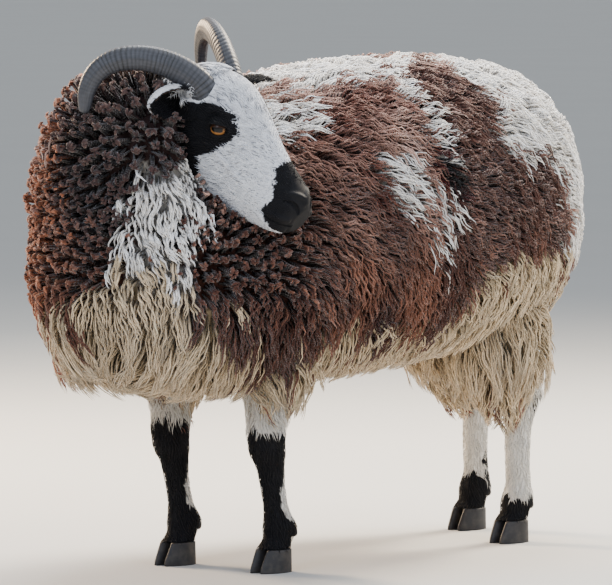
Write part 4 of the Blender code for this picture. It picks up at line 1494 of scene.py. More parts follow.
        uv = mesh.uv_layers.new(name=BAKE_MAP)
        uv.data.foreach_set("uv", places.reshape(-1, 2)[all_corners].astype(np.float32).ravel())
        obj = bpy.data.objects.new(name, mesh)
        bpy.context.scene.collection.objects.link(obj)
        return obj


def round_unwrap(points: Array, centre: Array, axis: Array) -> Array:
    """Lays a rounded form's skin out flat, seen from a point inside it.

    Args:
        points: Places on the skin.
        centre: The point inside.
        axis: The direction that runs from the top to the bottom of the map.

    Returns:
        A place from 0 to 1 both ways for each point.
    """
    axis = unit(axis)
    side = unit(np.cross(axis, np.array((0.3, 0.1, 0.95))))
    third = np.cross(axis, side)
    away = unit(points - centre)
    turn = np.arctan2(away @ third, away @ side) / math.tau + 0.5
    fall = np.arccos(np.clip(away @ axis, -1, 1)) / math.pi
    return np.stack([0.02 + 0.96 * turn, 0.02 + 0.96 * fall], 1)


def point_field(obj: bpy.types.Object) -> Array:
    """The object's vertices, one row each."""
    verts = np.empty(len(obj.data.vertices) * 3)
    obj.data.vertices.foreach_get("co", verts)
    return verts.reshape(-1, 3)


def normal_field(obj: bpy.types.Object) -> Array:
    """The outward direction at each of the object's vertices, one row each."""
    normals = np.empty(len(obj.data.vertices) * 3, dtype=np.float32)
    obj.data.vertex_normals.foreach_get("vector", normals)
    return normals.reshape(-1, 3)


def touching(points: Array, tree: BVHTree, reach: float = 0.0005) -> Array:
    """Which points lie on the surface that a tree searches."""
    return np.array([tree.find_nearest(Vector(point), reach)[0] is not None for point in points])


def paint(obj: bpy.types.Object, colours: Array, name: str = PELT) -> None:
    """Stores one colour or vector for each vertex.

    Args:
        obj: The object.
        colours: Three numbers for each vertex.
        name: The attribute's name.
    """
    tint = np.ones((len(colours), 4), dtype=np.float32)
    tint[:, :3] = colours
    layer = obj.data.attributes.new(name, "FLOAT_COLOR", "POINT")
    layer.data.foreach_set("color", tint.ravel())


def tree_of(*objects: bpy.types.Object) -> BVHTree:
    """A search tree over the faces of several objects."""
    verts, faces = [], []
    for obj in objects:
        start = len(verts)
        verts += [tuple(v) for v in point_field(obj)]
        faces += [[start + i for i in face.vertices] for face in obj.data.polygons]
    return BVHTree.FromPolygons(verts, faces)


def settled(obj: bpy.types.Object) -> bpy.types.Object:
    """Moves a finished mesh from the layout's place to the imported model's."""
    obj.data.transform(Matrix.Translation(Vector(ORIGIN_SHIFT)))
    obj.data.update()
    return obj


@dataclass
class Fleece:
    """The wool over her trunk, neck, tail and the tops of her legs.

    Attributes:
        skin: The skin that it grows from.
        head: The form of the head, for the wool behind it.
        markings: Its colours.
        form: The form of the body, for its tail.
        spacing: The mean distance between tufts.
        lock: The distance between locks in brown, white and curled wool.
        width: A tuft's widest.
        face_start: Where the wool ends behind the face, along from the poll.
        jaw_line: How far down the face is kept free of wool.
        face_half: How far out to either side the face is kept free of wool.
        overrun: How far towards the face a tuft may run from its root.
        near_poll: How near to the poll tufts are tried against the head, horns and ears.
        cropped: How short tufts are cut, one after another, until they clear the head.
        length: How long a tuft is, and how much longer in white wool and low down.
        bend: The radius that the trunk curves away with.
        leg_growth: The rise, length and bend of the wool round the top of a leg.
        tail_growth: The rise and length of the tail's wool.
        mottle: How much tufts differ in lightness, and locks.
        painted_root_shades: How light white and coloured wool is at the root, as painted shade deep
            in the fleece.
        fading: How far the tips of white, black and brown wool are bleached.
        leg_wool: How far behind its foot's middle the wool round a leg is centred, how
            wide it reaches and how high.
        flank_start: Where the flank's piece of coat ends and the rump's starts.
        shoulder_start: Where the shoulder's ends and the flank's starts.
        neck_start: Where the neck's and brisket's end and the shoulder's starts.
        neck_bottom: Where the brisket's ends and the neck's starts.
        unwrap_heights: How high the neck and the trunk are seen from for their unwrap.
    """

    skin: bpy.types.Object
    head: HeadForm
    markings: Markings
    form: BodyForm
    spacing: float = 0.0053
    lock: tuple = (0.0125, 0.0165, 0.0150)
    width: float = 0.0034
    face_start: float = 0.014
    jaw_line: float = -0.122
    face_half: float = 0.085
    overrun: float = 0.016
    near_poll: float = 0.36
    cropped: tuple = (0.72, 0.5, 0.35, 0.22)
    length: tuple = (0.044, 0.010, 0.018)
    bend: float = 0.22
    leg_growth: tuple = (0.023, 0.046, 0.30)
    tail_growth: tuple = (0.016, 0.046)
    mottle: tuple = (0.14, 0.10)
    painted_root_shades: tuple = (0.66, 0.50)
    fading: tuple = (0.15, 0.12, 0.42)
    leg_wool: tuple = (-0.03, 0.095, 0.30)
    flank_start: float = 0.13
    shoulder_start: float = -0.10
    neck_start: float = -0.34
    neck_bottom: float = 0.49
    unwrap_heights: tuple = (0.56, 0.49)

    def lie(self, roots: Roots) -> Array:
        """The way that the wool lies: back along the upper flank, and down below it."""
        _, y, z = roots.points.T
        high = eased(z, 0.38, 0.54) * eased(y, -0.38, -0.24)
        front = eased(-y, 0.38, 0.46) * eased(-z, -0.44, -0.34)
        down = -UP * (1.0 - 0.30 * high)[:, None]
        back = BACK * (0.22 + 1.15 * high - 0.75 * front)[:, None]
        wish = down + back
        normals = roots.normals
        flat = wish - normals * (normals * wish).sum(axis=1)[:, None]
        weak = np.linalg.norm(flat, axis=1) < 0.05
        flat[weak] = BACK - normals[weak] * (normals[weak] @ BACK)[:, None]
        flat = unit(flat)
        stray = (0.30 * ripple(roots.points, 0.10, 61))[:, None]
        return flat * np.cos(stray) + np.cross(normals, flat) * np.sin(stray)

    def on_tail(self, points: Array) -> Array:
        """Which points are on the tail."""
        low, high = np.array(self.form.tail_bottom), np.array(self.form.tail_top)
        share = np.clip((points - high) @ (low - high) / ((low - high) @ (low - high)), 0, 1)
        far = np.linalg.norm(points - (high + (low - high) * share[:, None]), axis=1)
        return (far < self.form.tail_half_width) & (points[:, 1] > high[1] - 0.005)

    def round_leg(self, points: Array) -> list:
        """For each leg, which points are in the wool round its top."""
        masks = []
        ahead, reach, top = self.leg_wool
        for leg in Leg:
            near = np.hypot(points[:, 0] - FEET[leg][0], points[:, 1] - FEET[leg][1] - ahead)
            masks.append((near < reach) & (points[:, 2] < top))
        return masks

    def clear(self, paths: Array, solid: BVHTree) -> Array:
        """Which tufts don't run into the head, the horns or the ears, or over the face.

        Args:
            paths: Their middle lines.
            solid: The things that they may not enter.

        Returns:
            True for each tuft that stays.
        """
        along, out, up = np.moveaxis(self.head.local(paths), 2, 0)
        start = np.maximum(self.face_start, along[:, :1] + self.overrun)
        over = (along > start) & (up > self.jaw_line) & (np.abs(out) < self.face_half)
        keep = ~over.any(axis=1)
        poll = np.array(self.head.poll)
        close = np.linalg.norm(paths - poll, axis=2).min(axis=1) < self.near_poll
        for number in np.flatnonzero(close & keep):
            path = paths[number]
            for a, b in zip(path, path[1:]):
                root, step = Vector(a), Vector(b - a)
                if solid.ray_cast(root, step.normalized(), step.length)[0] is not None:
                    keep[number] = False
                    break
            if keep[number]:
                spot, normal, _, far = solid.find_nearest(Vector(path[2]))
                if far < 0.05 and (Vector(path[2]) - spot).dot(normal) < 0:
                    keep[number] = False
        return keep

    def growth(self, roots: Roots, pale: Array) -> Growth:
        """How the wool grows at each root.

        Args:
            roots: The roots.
            pale: Which of them grow white wool, as 0 or 1.

        Returns:
            The growth.
        """
        _, y, z = roots.points.T
        count = len(roots)
        low = eased(-z, -0.42, -0.32)
        neck = eased(-y, 0.26, 0.36) * eased(z, 0.36, 0.44)
        usual, more_white, more_low = self.length
        length = usual + more_white * pale * (1 - 0.8 * neck) + more_low * low
        rise = np.full(count, FLEECE_DEPTH * 0.95)
        tail = self.on_tail(roots.points)
        rise[tail], length[tail] = self.tail_growth
        bend = np.full(count, self.bend)
        dome = np.clip(neck * (0.95 - 0.60 * pale), 0, 1)
        for mask in self.round_leg(roots.points):
            rise[mask], length[mask], bend[mask] = self.leg_growth
        plain, white, curled = self.lock
        return Growth(
            length=length,
            rise=rise,
            width=self.width * (1 - 0.14 * pale * (1 - neck) + 0.95 * dome),
            wave=0.0019 + 0.0006 * (1 - pale),
            turns=np.full(count, 2.1),
            gather=0.42 + 0.20 * pale * (1 - neck) + 0.12 * low,
            dome=dome,
            lock=np.where(dome > 0.4, curled, np.where((pale > 0.5) | (low > 0.5), white, plain)),
            sag=0.06 + 0.16 * low,
            bend=bend,
        )

    def colours(
        self, base: Array, pale: Array, normals: Array, owner: Array, marks: tuple
    ) -> Array:
        """Colours along each tuft: darkened at the root as painted shade deep in the fleece, and
        faded by the sun at the tip.

        Args:
            base: The marking's colour at each root.
            pale: Which tufts are white.
            normals: The skin's directions.
            owner: Each tuft's lock.
            marks: Where along a tuft its points are.

        Returns:
            A colour for each tuft at each of its points.
        """
        dice = np.random.default_rng(71)
        t = np.array(marks)[None, :, None]
        light = np.exp(dice.normal(0, self.mottle[0], len(base)))
        light *= np.exp(dice.normal(0, self.mottle[1], owner.max() + 1))[owner]
        # Painted shade: each tuft is darkened towards its root, for the shadow deep between the
        # locks.
        root = np.where(pale, *self.painted_root_shades)[:, None, None]
        shade = root + (1 - root) * np.clip((t - 0.1) / 0.55, 0, 1)
        tips = np.where(pale[:, None], Tint.WHITE.light, Tint.BLEACHED.light)
        sun = np.clip(0.35 + 0.65 * normals[:, 2], 0.05, 1.0)
        dark = base.mean(axis=1) < 0.02
        white, black, brown = self.fading
        fade = np.where(pale, white, np.where(dark, black, brown) * sun)
        fade = fade * dice.uniform(0.4, 1.4, len(base))
        mix = np.clip(fade[:, None, None] * np.clip((t - 0.45) / 0.5, 0, 1), 0, 0.9)
        along = base[:, None] * (1 - mix) + tips[:, None] * mix
        return np.clip(along * shade * light[:, None, None], 0, BRIGHTEST)

    def parts(self, points: Array) -> dict:
        """Divides the coat into pieces by the part of the animal.

        Args:
            points: The roots' places.

        Returns:
            For each piece's name, its roots, the middle of its unwrap and the axis of that.
        """
        x, y, z = points.T
        names = np.full(len(points), "wool_rump", dtype="<U24")
        names[y < self.flank_start] = "wool_flank"
        names[y < self.shoulder_start] = "wool_shoulder"
        names[(y < self.neck_start) & (z <= self.neck_bottom)] = "wool_brisket"
        names[(y < self.neck_start) & (z > self.neck_bottom)] = "wool_neck"
        names = np.char.add(names, np.where(x > 0, "_left", "_right"))
        for leg, mask in zip(Leg, self.round_leg(points)):
            names[mask] = f"wool_{leg.value}"
        names[self.on_tail(points)] = "wool_tail"
        found = {}
        for name in np.unique(names):
            mask = names == name
            axis = UP if "leg" in name or "tail" in name or "neck" in name else BACK
            middle = points[mask].mean(axis=0)
            if "leg" not in name and "tail" not in name:
                middle[0] = 0.0
                middle[2] = self.unwrap_heights[0 if "neck" in name else 1]
            found[str(name)] = (mask, middle, axis)
        return found

    def make(self, solid: BVHTree) -> list:
        """Grows the wool.

        Args:
            solid: What the wool may not enter.

        Returns:
            The pieces.
        """
        roots = scattered(self.skin, self.spacing, 41)
        lie = self.lie(roots)
        shown = roots.points + roots.normals * FLEECE_DEPTH * 0.8 + lie * 0.022
        dice = np.random.default_rng(17)
        base = self.markings.of_fleece(shown, dice)
        base[self.on_tail(roots.points)] = Tint.DARK_BROWN.light
        base[self.head.behind_cheek(roots.points)] = Tint.BLACK_WOOL.light
        pale = base.mean(axis=1) > 0.3
        coat = Coat(roots, lie, self.growth(roots, pale.astype(float)), 23)
        paths, owner = coat.paths()
        keep = self.clear(paths, solid)
        for share in self.cropped:
            blocked = np.flatnonzero(~keep)
            cropped = paths[blocked]
            cropped = cropped[:, :1] + (cropped - cropped[:, :1]) * share
            fits = self.clear(cropped, solid)
            paths[blocked[fits]], keep[blocked[fits]] = cropped[fits], True
        colours = self.colours(base, pale, roots.normals, owner, coat.growth.marks)
        LOG.info("fleece: %d tufts in %d locks", keep.sum(), owner.max() + 1)
        pieces = []
        for name, (mask, middle, axis) in self.parts(roots.points).items():
            unwrap = round_unwrap(roots.points, middle, axis)
            pieces.append(coat.make(name, paths, colours, unwrap, mask & keep))
        return pieces


@dataclass
class FaceHair:
    """The short hair of her face and ears, and the tuft between her horns.

    Attributes:
        form: The form of the skin, for its ears.
        skin: The skin of the head.
        head: The head's form.
        markings: Its colours.
        spacing: The mean distance between tufts.
        length: How long the hair is.
        mouth_start: Where the inside of the mouth starts, along from the poll.
        crown_end: Where the crown's piece of coat ends and the face's starts.
        grey: How many of the white face's tufts are grey, and how much that varies.
    """

    form: Skin
    skin: bpy.types.Object
    head: HeadForm
    markings: Markings
    spacing: float = 0.0029
    length: float = 0.0085
    mouth_start: float = 0.228
    crown_end: float = 0.075
    grey: tuple = (0.13, 0.20)

    def place_colours(self, points: Array, normals: Array) -> tuple[Array, Array, Array]:
        """Colours over the head, its ears and its crown.

        Args:
            points: Places on the skin.
            normals: The skin's directions there.

        Returns:
            One colour for each point, how bare it is there, and which are on the ears.
        """
        places = self.head.local(points)
        places[:, 1] = np.abs(places[:, 1])
        colours, bare = self.markings.of_head(places)
        right, run = self.form.in_ear(points, 1)
        left, _ = self.form.in_ear(points, -1)
        cup = right & (normals @ self.form.ear_axes(1)[1] > 0.12)
        outside = right & (run > 0.033 + 0.004 * ripple(points, 0.02, 12))
        colours[outside] = Tint.FACE_WHITE.light
        colours[cup | left | (right & ~outside)] = Tint.BLACK_HAIR.light
        colours[outside & (normals @ self.head.upright < -0.75)] = Tint.EAR_RIM.light
        ears = right | left
        return colours, bare, ears

    def make(self, solid: BVHTree) -> list:
        """Grows the hair.

        Args:
            solid: What the hair may not enter: the eyes and the horns.

        Returns:
            The pieces.
        """
        roots = scattered(self.skin, self.spacing, 43)
        places = self.head.local(roots.points)
        keep = np.ones(len(roots), dtype=bool)
        for number, point in enumerate(roots.points):
            keep[number] = solid.find_nearest(Vector(point), 0.0030)[0] is None
        inside_mouth = (places[:, 0] > self.mouth_start) & (np.abs(places[:, 1]) < 0.02)
        roots = roots.chosen(keep & ~inside_mouth)
        places = self.head.local(roots.points)
        colours, bare, ears = self.place_colours(roots.points, roots.normals)
        dice = np.random.default_rng(29)
        count = len(roots)
        white = (colours.mean(axis=1) > 0.4) & ~ears
        streaks = ripple(places * (0.35, 1.0, 1.0), 0.012, 9) + 0.8 * ripple(places, 0.05, 10)
        mean, more = self.grey
        colours[white & (dice.uniform(0, 1, count) < mean + more * streaks)] = Tint.FACE_GREY.light
        crown = eased(-places[:, 0], -0.040, -0.012) * eased(-np.abs(places[:, 1]), -0.06, -0.045)
        crown = crown * ~ears * eased(places[:, 2], -0.075, -0.045)
        short = np.clip((0.24 - places[:, 0]) / 0.12, 0.35, 1)
        growth = Growth(
            length=self.length * short + 0.013 * crown,
            rise=0.0015 * short + 0.0065 * crown,
            width=0.0012 + 0.0005 * crown,
            wave=0.0002 + 0.0009 * crown,
            turns=np.full(count, 1.5),
            gather=0.25 + 0.25 * crown,
            dome=np.zeros(count),
            lock=np.full(count, 0.009),
            sag=0.1 * crown,
            bend=np.full(count, 0.09),
            marks=HAIR_MARKS,
        )
        coat = Coat(roots, self.lie(roots, places, ears), growth, 31, HAIR_OUTLINE)
        paths, _ = coat.paths()
        light = np.exp(dice.normal(0, 0.09, count))[:, None, None]
        # Painted shade: each hair tuft is darkened towards its root, for the shadow between the
        # hairs.
        shades = np.array((0.80, 0.97, 1.04, 1.04))[None, :, None]
        along = np.clip(colours[:, None] * shades * light, 0, BRIGHTEST)
        back = places[:, 0] < self.crown_end
        pieces = []
        for name, mask in (
            ("hair_face", ~back & ~ears & (bare < 0.5)),
            ("hair_crown", back & ~ears),
            ("hair_ear_left", ears & (places[:, 1] < 0)),
            ("hair_ear_right", ears & (places[:, 1] > 0)),
        ):
            middle = roots.points[mask].mean(axis=0)
            unwrap = round_unwrap(roots.points, middle, self.head.along)
            pieces.append(coat.make(name, paths, along, unwrap, mask))
        return pieces

    def lie(self, roots: Roots, places: Array, ears: Array) -> Array:
        """The way that the hair lies: from the nose back to the poll, and out along the ears."""
        side = np.sign(places[:, 1])[:, None]
        wish = -self.head.along - 0.45 * self.head.dorsal * np.ones_like(side)
        outward = self.head.right * side
        wish = np.where(ears[:, None], outward, wish)
        crown = (eased(-places[:, 0], -0.040, -0.012) * ~ears)[:, None]
        fringe = self.head.along * 0.7 + self.head.right * places[:, 1:2] / 0.05
        wish = wish * (1 - crown) + fringe * crown
        flat = wish - roots.normals * (roots.normals * wish).sum(axis=1)[:, None]
        return unit(flat)


@dataclass
class LegHair:
    """The short hair of one leg.

    Attributes:
        leg: The leg.
        skin: Its skin.
        markings: Its colours.
        spacing: The mean distance between tufts.
        bottom: How low it grows.
        top: How high it grows.
        ends: The lowest that a tuft hangs, just over the claws.
    """

    leg: Leg
    skin: bpy.types.Object
    markings: Markings
    spacing: float = 0.0041
    bottom: float = 0.034
    top: float = 0.30
    ends: float = 0.026

    def make(self) -> bpy.types.Object:
        """Grows the hair.

        Returns:
            The piece.
        """
        roots = scattered(self.skin, self.spacing, 47)
        z = roots.points[:, 2]
        roots = roots.chosen((z > self.bottom) & (z < self.top))
        count = len(roots)
        colours = self.markings.of_leg(self.leg, roots.points)
        wish = -UP + 0.25 * BACK
        lie = unit(wish - roots.normals * (roots.normals @ wish)[:, None])
        z = roots.points[:, 2]
        woolly = np.clip((z - 0.19) / 0.05, 0, 1)
        growth = Growth(
            length=0.011 + 0.016 * woolly,
            rise=0.0018 + 0.005 * woolly,
            width=np.full(count, 0.0016),
            wave=0.0002 + 0.001 * woolly,
            turns=np.full(count, 1.4),
            gather=0.25 + 0.3 * woolly,
            dome=np.zeros(count),
            lock=np.full(count, 0.010),
            sag=np.full(count, 0.05),
            bend=np.full(count, 0.30),
            marks=HAIR_MARKS,
        )
        coat = Coat(roots, lie, growth, 37, HAIR_OUTLINE)
        paths, _ = coat.paths()
        paths[:, :, 2] = np.maximum(paths[:, :, 2], self.ends)
        light = np.exp(np.random.default_rng(3).normal(0, 0.12, count))[:, None, None]
        # Painted shade: each hair tuft is darkened towards its root, for the shadow between the
        # hairs.
        shades = np.array((0.7, 0.95, 1.05, 1.05))[None, :, None]
        along = np.clip(colours[:, None] * shades * light, 0, BRIGHTEST)
        middle = FEET[self.leg] + np.array((0, -0.01, 0.15))
        turn = np.arctan2(roots.points[:, 0] - middle[0], roots.points[:, 1] - middle[1])
        unwrap = np.stack([0.5 + 0.47 * turn / math.pi, 0.02 + 3.1 * z], 1)
        return coat.make(f"hair_{self.leg.value}", paths, along, unwrap, np.ones(count, bool))


@dataclass
class Horn:
    """One ridged horn that sweeps up, out and down to a blunt tip.

    Attributes:
        head: The head that it grows from.
        side: Which side it is on.
        line: Its middle line in its own plane, as distance out and height.
        root: Where it starts: along the heading, out, and up.
        plane: How far its plane is turned, in degrees.
        lift_left: How much higher the left horn's curve is.
        tall: Half its height at the root.
        wide: Half its width at the root.
        tip: How thick its tip is, as a share.
        taper: How soon it narrows.
        rounded: How much of its length, as a share, its blunt end rounds off over.
        ridge_gap: The distance between growth rings.
        ridge_depth: How deep they are.
        steps: How many lengths it is divided into.
        count: How many points go round it.
    """

    head: HeadForm
    side: Side
    line: tuple = (
        (-0.014, -0.024),
        (0.000, 0.000),
        (0.024, 0.021),
        (0.051, 0.035),
        (0.081, 0.042),
        (0.111, 0.040),
        (0.136, 0.027),
        (0.152, 0.004),
        (0.160, -0.028),
    )
    root: tuple = (0.012, 0.037, -0.016)
    plane: float = 35.0
    lift_left: float = 1.22
    tall: float = 0.0205
    wide: float = 0.0145
    tip: float = 0.12
    taper: float = 0.32
    rounded: float = 0.015
    ridge_gap: float = 0.0058
    ridge_depth: float = 0.0010
    steps: int = 220
    count: int = 44

    def make(self) -> bpy.types.Object:
        """Builds the horn, with how far along it and how deep in a groove each point is."""
        head, sign = self.head, self.side.value
        plane = math.radians(self.plane)
        outward = -head.forward * math.cos(plane) + head.right * sign * math.sin(plane)
        start = np.array(head.poll) + head.forward * self.root[0]
        start = start + head.right * sign * self.root[1] + head.upright * self.root[2]
        t = np.linspace(0, 1, self.steps + 1)
        out, up = smooth_curve(np.array(self.line), t).T
        if self.side is Side.LEFT:
            up = np.where(up > 0, up * self.lift_left, up)
        points = start + outward * out[:, None] + head.upright * up[:, None]
        gone = np.concatenate([[0], np.cumsum(np.linalg.norm(np.diff(points, axis=0), axis=1))])
        ahead = np.gradient(points, axis=0)
        across = unit(np.cross(outward, head.upright))
        upright = unit(np.cross(ahead, across))
        narrow = (1 - t) ** self.taper * (1 - self.tip) + self.tip
        narrow *= 1 - 0.35 * np.clip((t - (1 - self.rounded)) / self.rounded, 0, 1) ** 2
        wander = 0.22 * np.sin(gone * 61 + sign) + 0.16 * np.sin(gone * 143 + 2 * sign)
        groove = np.abs(np.sin(math.pi * (gone / self.ridge_gap + wander))) ** 0.55
        strength = np.clip(3.2 * (1 - t), 0.12, 1) * (0.8 + 0.2 * np.sin(gone * 97))
        bump = self.ridge_depth * (groove - 0.7) * strength
        angle = np.arange(self.count) * math.tau / self.count
        flute = 0.00022 * np.sin(angle * 11 + sign) + 0.00018 * np.sin(angle * 7)
        keel = 0.0009 * np.maximum(0, -np.cos(angle)) ** 6
        tall = (self.tall * narrow + bump)[:, None] + flute[None] + keel[None] * narrow[:, None]
        wide = (self.wide * narrow + bump)[:, None] + flute[None]
        rings = (
            points[:, None]
            + upright[:, None] * (tall * np.cos(angle))[:, :, None]
            + across * (wide * np.sin(angle))[:, :, None]
        )
        obj = tube(f"horn_{self.side.label}_keratin", rings)
        deep = np.repeat((1 - groove) * strength, self.count)
        far = np.repeat(gone / gone[-1], self.count)
        turn = np.tile(angle / math.tau, len(t))
        rows = np.stack([far, turn, deep], 1)
        paint(obj, np.vstack([rows, (0, 0, 0), (1, 0, 0)]), GROWTH)
        obj.data.shade_smooth()
        return obj


@dataclass
class Eye:
    """One eyeball, with a level slit of a pupil.

    Attributes:
        head: The head that it is in.
        side: Which side it is on.
        bulge: How far the clear front stands out.
        bulge_start: Where it starts, as a share of the radius along the line of sight.
    """

    head: HeadForm
    side: Side
    bulge: float = 0.0007
    bulge_start: float = 0.72

    def make(self) -> bpy.types.Object:
        """Builds the eyeball, with each point's place against its line of sight."""
        axes = self.head.eye_axes(self.side.value)
        centre = self.head.eye_centre(self.side.value)
        obj = ball(f"eye_{self.side.label}_ball", centre, axes, (self.head.eye_radius,) * 3)
        modified(obj, "SUBSURF", levels=1, render_levels=1)
        places = (point_field(obj) - centre) @ np.stack(axes, 1)
        places = unit(places)
        share = np.clip((places[:, 1] - self.bulge_start) / (1 - self.bulge_start), 0, 1)
        more = self.bulge * share**1.5
        verts = centre + (places * (self.head.eye_radius + more)[:, None]) @ np.stack(axes, 0)
        obj.data.vertices.foreach_set("co", verts.ravel())
        rise = np.sign(axes[2] @ self.head.dorsal)
        level = np.array((places[:, 0], places[:, 2] * rise, places[:, 1])).T
        paint(obj, level * 0.5 + 0.5, GAZE)
        obj.data.shade_smooth()
        return obj


@dataclass
class Claw:
    """One claw of a cloven hoof: round at the heel, pointed at the toe, flat below.

    Attributes:
        leg: The leg that it is on.
        side: 1 for the left claw and -1 for the right.
        height: Its height.
        length: Its length.
        width: Its width.
        apart: The gap between the two claws.
        spread: How far each is turned out, in degrees.
        forward: How far before the foot's middle it is.
        pointed: How much narrower the toe is than the heel, as a share.
        levels: Heights, and how large its outline is there.
    """

    leg: Leg
    side: int
    height: float = 0.0325
    length: float = 0.058
    width: float = 0.0225
    apart: float = 0.0015
    spread: float = 5.0
    forward: float = 0.021
    pointed: float = 0.34
    levels: tuple = ((0.0, 1.0), (0.008, 0.97), (0.020, 0.86), (0.0325, 0.74))

    def make(self) -> bpy.types.Object:
        """Builds the claw, with its growth lines and a worn lower edge."""
        heights, scales = np.array(self.levels).T
        angle = np.arange(48) * math.tau / 48
        toe, foot = np.sin(angle), FEET[self.leg]
        turn = math.radians(-self.spread * self.side)
        rings = []
        for z in np.concatenate([[0.0, 0.0008], np.linspace(0.003, self.height, 20)]):
            scale = float(np.interp(z, heights, scales))
            scale *= 0.965 if z == 0.0 else 1.0
            scale += 0.006 * math.sin(z * 1700)
            slope = (1 - scale) * self.length
            x = self.width / 2 * np.cos(angle) * (1 - self.pointed * np.maximum(0, toe))
            y = -self.length / 2 * toe * scale + slope * 0.42
            x = x * (0.9 + 0.1 * scale) + self.side * (self.width + self.apart) / 2
            across = x * math.cos(turn) - y * math.sin(turn) + foot[0]
            ahead = x * math.sin(turn) + y * math.cos(turn) + foot[1] - self.forward
            rings.append(np.stack([across, ahead, np.full(48, z)], 1))
        label = "left" if self.side > 0 else "right"
        obj = tube(f"claw_{self.leg.value}_{label}", np.array(rings))
        obj.data.shade_smooth()
        return obj


@dataclass
class Dewclaws:
    """The two small claws at the back of one pastern.

    Attributes:
        leg: The leg that they are on.
        place: Their middles: out to either side, behind the foot's middle, and up.
        aim: Where they point: out, back and up.
        radii: Half their width, depth and length.
    """

    leg: Leg
    place: tuple = (0.0105, 0.0165, 0.056)
    aim: tuple = (0.20, 0.25, -1.0)
    radii: tuple = (0.0056, 0.0052, 0.0078)

    def make(self) -> bpy.types.Object:
        """Builds both as one piece."""
        claws = []
        for side in (-1, 1):
            mirror = np.array((side, 1, 1))
            down = unit(np.array(self.aim) * mirror)
            across = unit(np.cross(down, BACK))
            axes = (across, np.cross(down, across), down)
            centre = FEET[self.leg] + np.array(self.place) * mirror
            claws.append(ball(f"dewclaws_{self.leg.value}", centre, axes, self.radii))
        obj = joined(claws)
        obj.data.shade_smooth()
        return obj


def connect(tree: bpy.types.NodeTree, node: bpy.types.Node, inputs: dict) -> None:
    """Sets or links a node's inputs.

    Args:
        tree: The node tree.
        node: The node.
        inputs: For each socket's name or number a value, a colour as sRGB hex, another
            node's output, or another node, whose first output is meant.
    """
    for key, value in inputs.items():
        if isinstance(value, bpy.types.Node):
            value = value.outputs[0]
        if isinstance(value, bpy.types.NodeSocket):
            tree.links.new(value, node.inputs[key])
        else:
            value = (*linear(value), 1.0) if isinstance(value, str) else value
            node.inputs[key].default_value = value


def add_node(
    tree: bpy.types.NodeTree, kind: str, inputs: dict | None = None, **settings: object
) -> bpy.types.Node:
    """Adds a node with its settings and links.

    Args:
        tree: The node tree.
        kind: The node's type, without the word that every shader node starts with.
        inputs: Its inputs, as connect takes them.
        settings: Its properties.

    Returns:
        The node.
    """
    node = tree.nodes.new(f"ShaderNode{kind}")
    for name, value in settings.items():
        setattr(node, name, value)
    connect(tree, node, inputs or {})
    return node


def grained(
    tree: bpy.types.NodeTree,
    colour: object,
    noise: dict,
    shades: tuple,
    spread: tuple = (0.3, 0.7),
) -> tuple[bpy.types.Node, bpy.types.Node]:
    """Makes a colour lighter and darker by noise.

    Args:
        tree: The node tree.
        colour: The colour, as connect takes it.
        noise: The noise's inputs.
        shades: How light the darkest and the lightest grain is.
        spread: The noise's values there.

    Returns:
        The noise, and the colour with its grain.
    """
    grain = add_node(tree, "TexNoise", noise)
    span = {"From Min": spread[0], "From Max": spread[1], "To Min": shades[0], "To Max": shades[1]}
    strength = add_node(tree, "MapRange", {"Value": grain, **span})
    return grain, add_node(tree, "VectorMath", {0: colour, "Scale": strength}, operation="SCALE")


def new_material(name: str) -> tuple[bpy.types.Material, bpy.types.NodeTree, bpy.types.Node]:
    """A material with its node tree and its shader."""
    material = bpy.data.materials.new(name)
    material.use_nodes = True
    tree = material.node_tree
    return material, tree, tree.nodes["Principled BSDF"]


@dataclass(frozen=True)
class WoolFinish:
    """Raw wool: matt, slightly greasy fibres in fine crimped strands.

    The strands run along each lock, and their crimp shows as small ripples across it.
    Real fibres are 0.03 mm thick, too fine to show, so the strands stand for bundles.
    """

    name: str = "raw sheep's wool"
    roughness: float = 0.85
    sheen: float = 0.30
    strand_mm: float = 0.9
    length_mm: float = 6.25
    crimp_mm: float = 5.0
    crimp_share: float = 0.45
    contrast: tuple = (0.66, 1.26)

    def make(self) -> bpy.types.Material:
        """Builds the material."""
        material, tree, shader = new_material(self.name)
        colour = add_node(tree, "Attribute", attribute_name=PELT)
        strand = add_node(tree, "Attribute", attribute_name=STRAND).outputs["Vector"]
        sizes = (1000 / self.strand_mm, 1000 / self.length_mm, 1.0)
        drawn = add_node(tree, "VectorMath", {0: strand, 1: sizes}, operation="MULTIPLY")
        noise = {"Vector": drawn, "Scale": 1.0, "Detail": 2.0, "Distortion": 0.4}
        grain, tinted = grained(tree, colour, noise, self.contrast)
        split = add_node(tree, "SeparateXYZ", {"Vector": strand})
        turns = {0: split.outputs["Y"], 1: math.tau * 1000 / self.crimp_mm, 2: split.outputs["Z"]}
        turned = add_node(tree, "Math", turns, operation="MULTIPLY_ADD")
        wave = add_node(tree, "Math", {0: turned}, operation="SINE")
        heights = {0: wave, 1: self.crimp_share, 2: grain}
        height = add_node(tree, "Math", heights, operation="MULTIPLY_ADD")
        bump = add_node(tree, "Bump", {"Strength": 0.7, "Distance": 0.0009, "Height": height})
        looks = {"Base Color": tinted, "Normal": bump, "Roughness": self.roughness}
        fuzz = {"Specular IOR Level": 0.25, "Sheen Weight": self.sheen, "Sheen Roughness": 0.45}
        connect(tree, shader, looks | fuzz)
        return material


